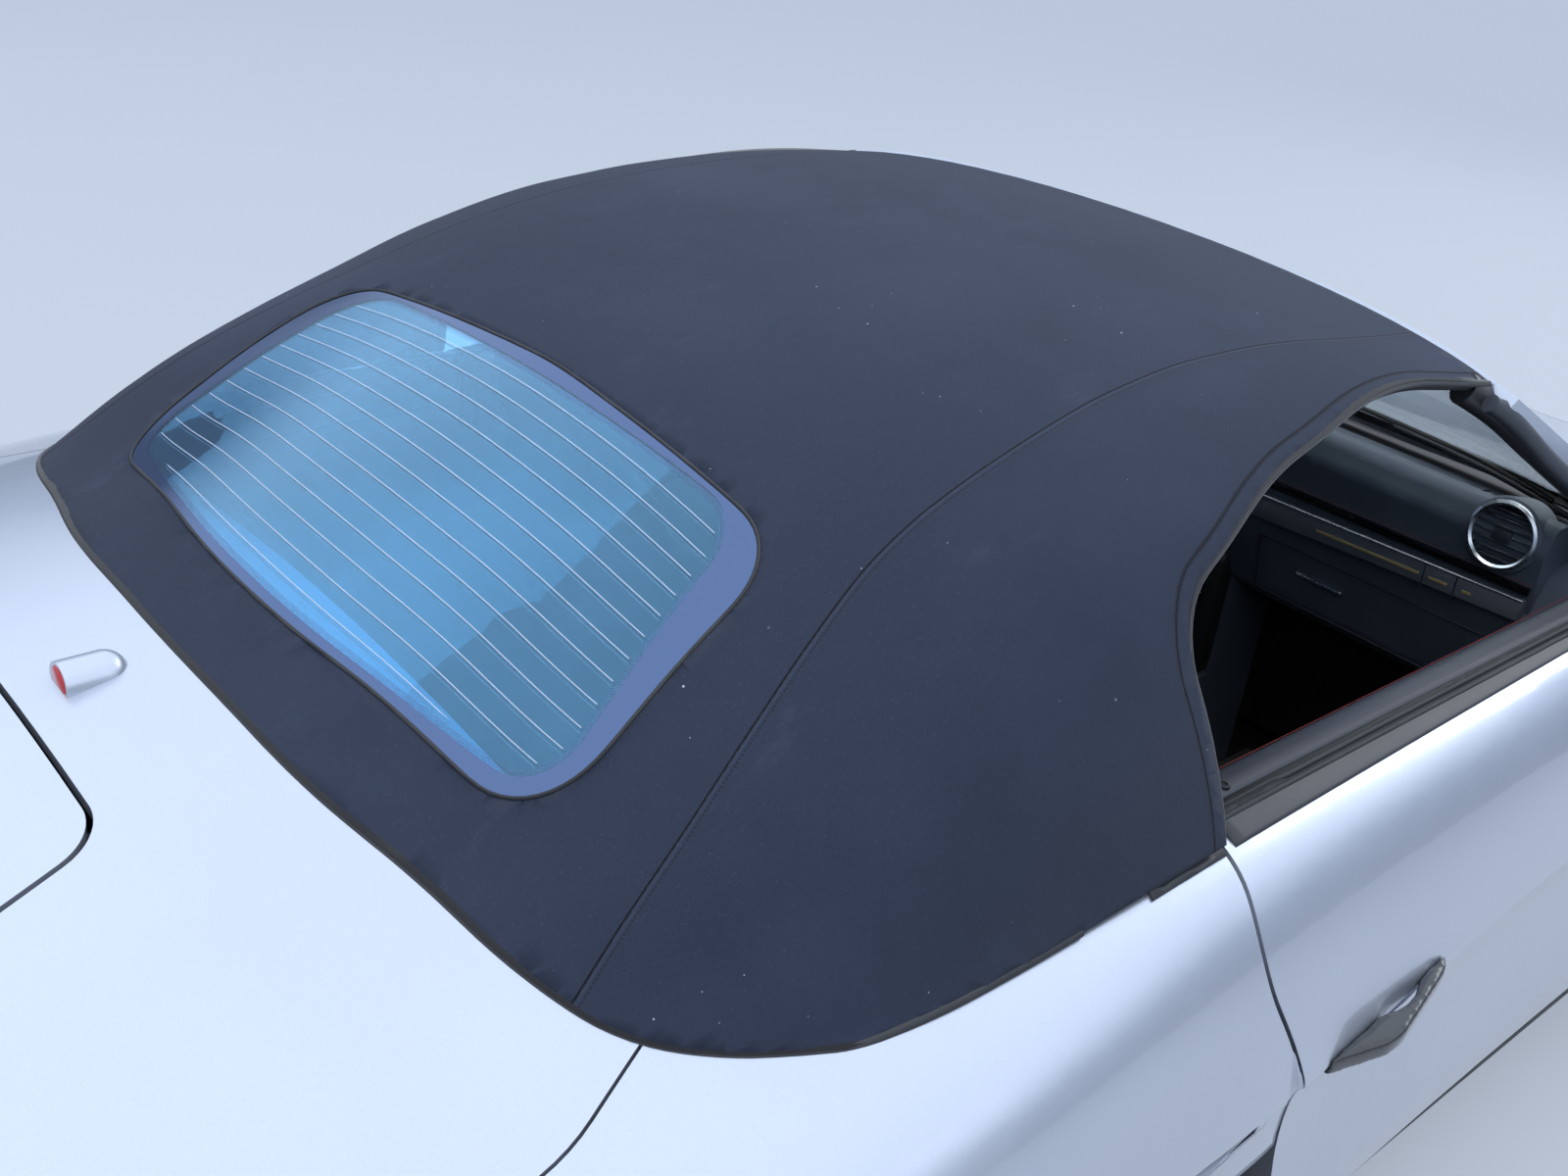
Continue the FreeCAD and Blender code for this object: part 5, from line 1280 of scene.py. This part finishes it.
class CAR_OT_wheels(bpy.types.Operator):
    """Treaded tyres, wheel bolts and blank caps"""

    bl_idname = "car.wheels"
    bl_label = "Wheels and tyres"

    def execute(self, context):
        bolt = metal("bolt_steel", (0.30, 0.30, 0.31), 0.35)
        cap = glossy("cap_grey", (0.10, 0.10, 0.11), 0.2)
        for end, f, radius, width, middle in AXLES:
            compound = tyre_rubber("tyre_" + end, at(0, f, radius))
            for side, sign in SIDES:
                corner = end + "_" + side
                body = "wheel_" + corner + "_body"
                out = ACROSS * sign
                axle = at(middle * sign, f, radius)
                tyre = self.tyre(axle, out, width / 2, radius)
                piece = add_piece("tread_" + corner, tyre, compound, body, 30.0)
                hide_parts("tyre_" + corner)
                face = axle + out * 0.095
                bolts = []
                for k in range(5):
                    turn = math.radians(72 * k + 36)
                    spot = face + Vector((0, math.cos(turn), math.sin(turn))) * 0.053
                    foot = spot - out * 0.004
                    bolts += [(add_round, foot, spot + out * 0.0055, 0.0105, 0.0095, 6, 0.001),
                              (add_round, foot, spot + out * 0.001, 0.0145, None, 20)]
                shape("bolts_" + corner, bolt, *bolts, body=body)
                shape("cap_" + corner, cap, (add_turned, (
                    (-0.004, 0.0), (-0.004, 0.036), (0.002, 0.036), (0.0055, 0.032),
                    (0.0065, 0.0)), face, out, 40), body=body)
        return {"FINISHED"}

    def tyre(self, axle, out, half, radius):
        """A tyre spun from its section in millimetres, its tread cut into blocks."""
        ribs, groove, depth = 5, 8, 5
        # Wall from the rim outwards, then the shoulder: place across, radius
        wall = [(-half + 9, 241.3), (-half + 9, 250.3), (-half + 3, 262), (-half, 281),
                (-half + 1, radius - 34), (-half + 6, radius - 17), (-half + 14, radius - 8),
                (-half + 16, radius - depth)]
        low = -half + 24
        pitch = (half - 24 - low + groove) / ribs
        starts = [low + k * pitch for k in range(ribs)]
        tread = [(x, radius - depth) for start in starts for x in (start, start + pitch - groove)]
        section = wall + tread + [(-x, r) for x, r in reversed(wall)]
        bm = bmesh.new()
        add_turned(bm, [(x / 1000, r / 1000) for x, r in section + section[:1]], axle, out, 96)
        blocks = []
        for face in bm.faces:
            spot = face.calc_center_median() - axle
            across = spot.dot(out) * 1000
            reach = (spot - out * spot.dot(out)).length * 1000
            if reach > radius - 7 and abs(across) < half - 18 \
                    and any(abs(across - start - (pitch - groove) / 2) < 2 for start in starts):
                blocks.append(face)
        bmesh.ops.inset_individual(bm, faces=blocks, thickness=0.0011, depth=0.0048,
                                   use_even_offset=True)
        return bm


class CAR_OT_lamps(bpy.types.Operator):
    """Lamp lenses and what is inside them, with the high brake light's lens"""

    bl_idname = "car.lamps"
    bl_label = "Lamps"

    def execute(self, context):
        chrome = metal("lamp_chrome", (0.82, 0.83, 0.85), 0.08)
        dark = glossy("lamp_bowl", (0.012, 0.012, 0.013), 0.25)
        white = glossy("lamp_white", (0.75, 0.76, 0.78), 0.3)
        red = glossy("lamp_red_bars", (0.45, 0.012, 0.012), 0.2)
        assign(["headlamp_left", "headlamp_right"],
               lamp_glass("headlamp_clear", (0.97, 0.98, 1.0), 0.03, 0.00002))
        assign(["tail_lamp_left", "tail_lamp_right"],
               lamp_glass("tail_clear_red", (0.62, 0.02, 0.02), 0.006, 0.0002))
        half = Vector((0.010, 0.006, 0.004))
        size = 0.034
        for side, sign in SIDES:
            patch("headlamp_bowl_" + side, "headlamp_" + side, at(680 * sign, 420, 640), (),
                  -0.034, 0.003, dark)
            way = Vector((sign * 0.22, -0.80, 0.42)).normalized()
            spots = [at(x * sign, f, z) for x, f, z in ((648, 336, 594), (700, 448, 640))]
            shape("headlamp_lenses_" + side, glossy("projector_" + side, (0.30, 0.33, 0.38), 0.04),
                  *((add_turned, ((0.022, 0.0), (0.018, size * 0.5), (0.006, size * 0.85),
                                  (-0.006, size)), spot, way, 32) for spot in spots))
            shape("headlamp_rings_" + side, chrome,
                  *((add_turned, ((-0.008, size), (0.004, size * 1.06), (0.004, size * 1.2),
                                  (-0.010, size * 1.24), (-0.008, size)), spot, way, 40)
                    for spot in spots))
            marks = [at(x * sign, f, z) for x, f, z in
                     ((588, 262, 566), (622, 262, 556), (700, 360, 600), (722, 400, 612))]
            shape("headlamp_marks_" + side, white,
                  *((add_block, mark - half, mark + half, 0.002, 2) for mark in marks))
            for name, cuts, lift, wall, finish in (
                    ("tail_bowl_", (), -0.026, 0.003, dark),
                    ("tail_bar_", ((at(0, 0, 768), UP), (at(0, 0, 757), -UP)), -0.012, 0.004, red),
                    ("tail_white_", ((at(0, 0, 738), UP), (at(0, 0, 728), -UP),
                                     (at(640 * sign, 0, 0), ACROSS * sign)),
                     -0.010, 0.004, white)):
                patch(name + side, "tail_lamp_" + side, at(660 * sign, 4280, 745), cuts, lift, wall,
                      finish)
        shape("high_brake_lens", red, (add_turned, (
            (0.0, 0.0), (0.0035, 0.0), (0.0035, 0.0165), (0.002, 0.0185), (-0.002, 0.0185)),
            at(0, 3526, 940), BACK, 32))
        return {"FINISHED"}


class CAR_OT_outside(bpy.types.Operator):
    """Air intake meshes, wipers, exhaust tips and filler flap line"""

    bl_idname = "car.outside"
    bl_label = "Outside details"

    def execute(self, context):
        mesh_black = metal("mesh_black", (0.02, 0.02, 0.022), 0.5)
        black = grained("arm_black", (0.010, 0.010, 0.011), 0.45)
        blade = rubber("wiper_rubber", (0.010, 0.010, 0.010), 0.6)
        chrome = metal("tip_steel", (0.62, 0.62, 0.63), 0.16)
        # Nets: middle, size, wires each way, wire thickness, axis that the grid turns about
        nets = [("intake_mesh_middle", at(0, 62, 300), (0.660, 1.0, 0.108), 60, 9, 0.0018, "X"),
                ("intake_mesh_left", at(518, 140, 329), (0.244, 1.0, 0.146), 22, 13, 0.0018, "X"),
                ("intake_mesh_right", at(-518, 140, 329), (0.244, 1.0, 0.146), 22, 13, 0.0018, "X")]
        nets += [("side_intake_mesh_" + side, at(862 * sign, 2722, 468), (1.0, 0.13, 0.27), 14, 24,
                  0.0022, "Y") for side, sign in SIDES]
        for name, middle, size, wires, other_wires, thickness, axis in nets:
            bm = bmesh.new()
            bmesh.ops.create_grid(bm, x_segments=wires, y_segments=other_wires, size=0.5)
            bmesh.ops.rotate(bm, verts=bm.verts, matrix=Matrix.Rotation(math.pi / 2, 3, axis))
            bmesh.ops.scale(bm, verts=bm.verts, vec=size)
            bmesh.ops.translate(bm, verts=bm.verts, vec=middle)
            bmesh.ops.wireframe(bm, faces=bm.faces[:], thickness=thickness, use_replace=True,
                                use_boundary=True, use_even_offset=True)
            add_piece(name, bm, mesh_black)
        screen = nearest_on("windshield_glass")
        arms, blades = [], []
        for pivot, tip in (((-30, 1345, 855), (470, 1470, 900)),
                           ((-560, 1450, 862), (-40, 1400, 905))):
            line = [at(*pivot).lerp(at(*tip), k / 16) for k in range(17)]
            blades.append(laid(screen, line[2:], 0.006))
            arms.append(laid(screen, line[:12], 0.014))
        beads("wiper_arms", arms, 0.0055, black, sides=2)
        beads("wiper_blades", blades, 0.0042, blade, sides=1)
        shape("exhaust_tips", chrome, *((add_turned, (
            (-0.080, 0.0402), (0.002, 0.0408), (0.004, 0.0395), (0.002, 0.037), (-0.060, 0.0355),
            (-0.080, 0.0402)), at(x, 4372, 278), BACK, 40) for x in (-52, 52)))
        ring = ellipse(at(-850, 1150, 745), BACK * 0.070, Vector((0.012, 0, 0.058)), 48)
        beads("filler_flap_line", [laid(nearest_on("fender_right"), ring, 0.0001)], 0.0013, black,
              closed=True, sides=1)
        return {"FINISHED"}


class CAR_PT_panel(bpy.types.Panel):
    """Lists the operators in the order in which they run"""

    bl_idname = "CAR_PT_panel"
    bl_label = "Convertible car"
    bl_space_type = "VIEW_3D"
    bl_region_type = "UI"
    bl_category = "Convertible"

    def draw(self, context):
        for operator in OPERATORS:
            self.layout.operator(operator.bl_idname)


OPERATORS = (CAR_OT_stage, CAR_OT_body, CAR_OT_top, CAR_OT_seals, CAR_OT_cabin, CAR_OT_doors,
             CAR_OT_seats, CAR_OT_fittings, CAR_OT_wheels, CAR_OT_lamps, CAR_OT_outside)
CLASSES = (CarLook,) + OPERATORS + (CAR_PT_panel,)


def register():
    for entry in CLASSES:
        bpy.utils.register_class(entry)
    bpy.types.Scene.car_look = bpy.props.PointerProperty(type=CarLook)


def unregister():
    del bpy.types.Scene.car_look
    for entry in reversed(CLASSES):
        bpy.utils.unregister_class(entry)


def main():
    register()
    for operator in OPERATORS:
        group, name = operator.bl_idname.split(".")
        getattr(getattr(bpy.ops, group), name)()


if __name__ == "__main__":
    main()
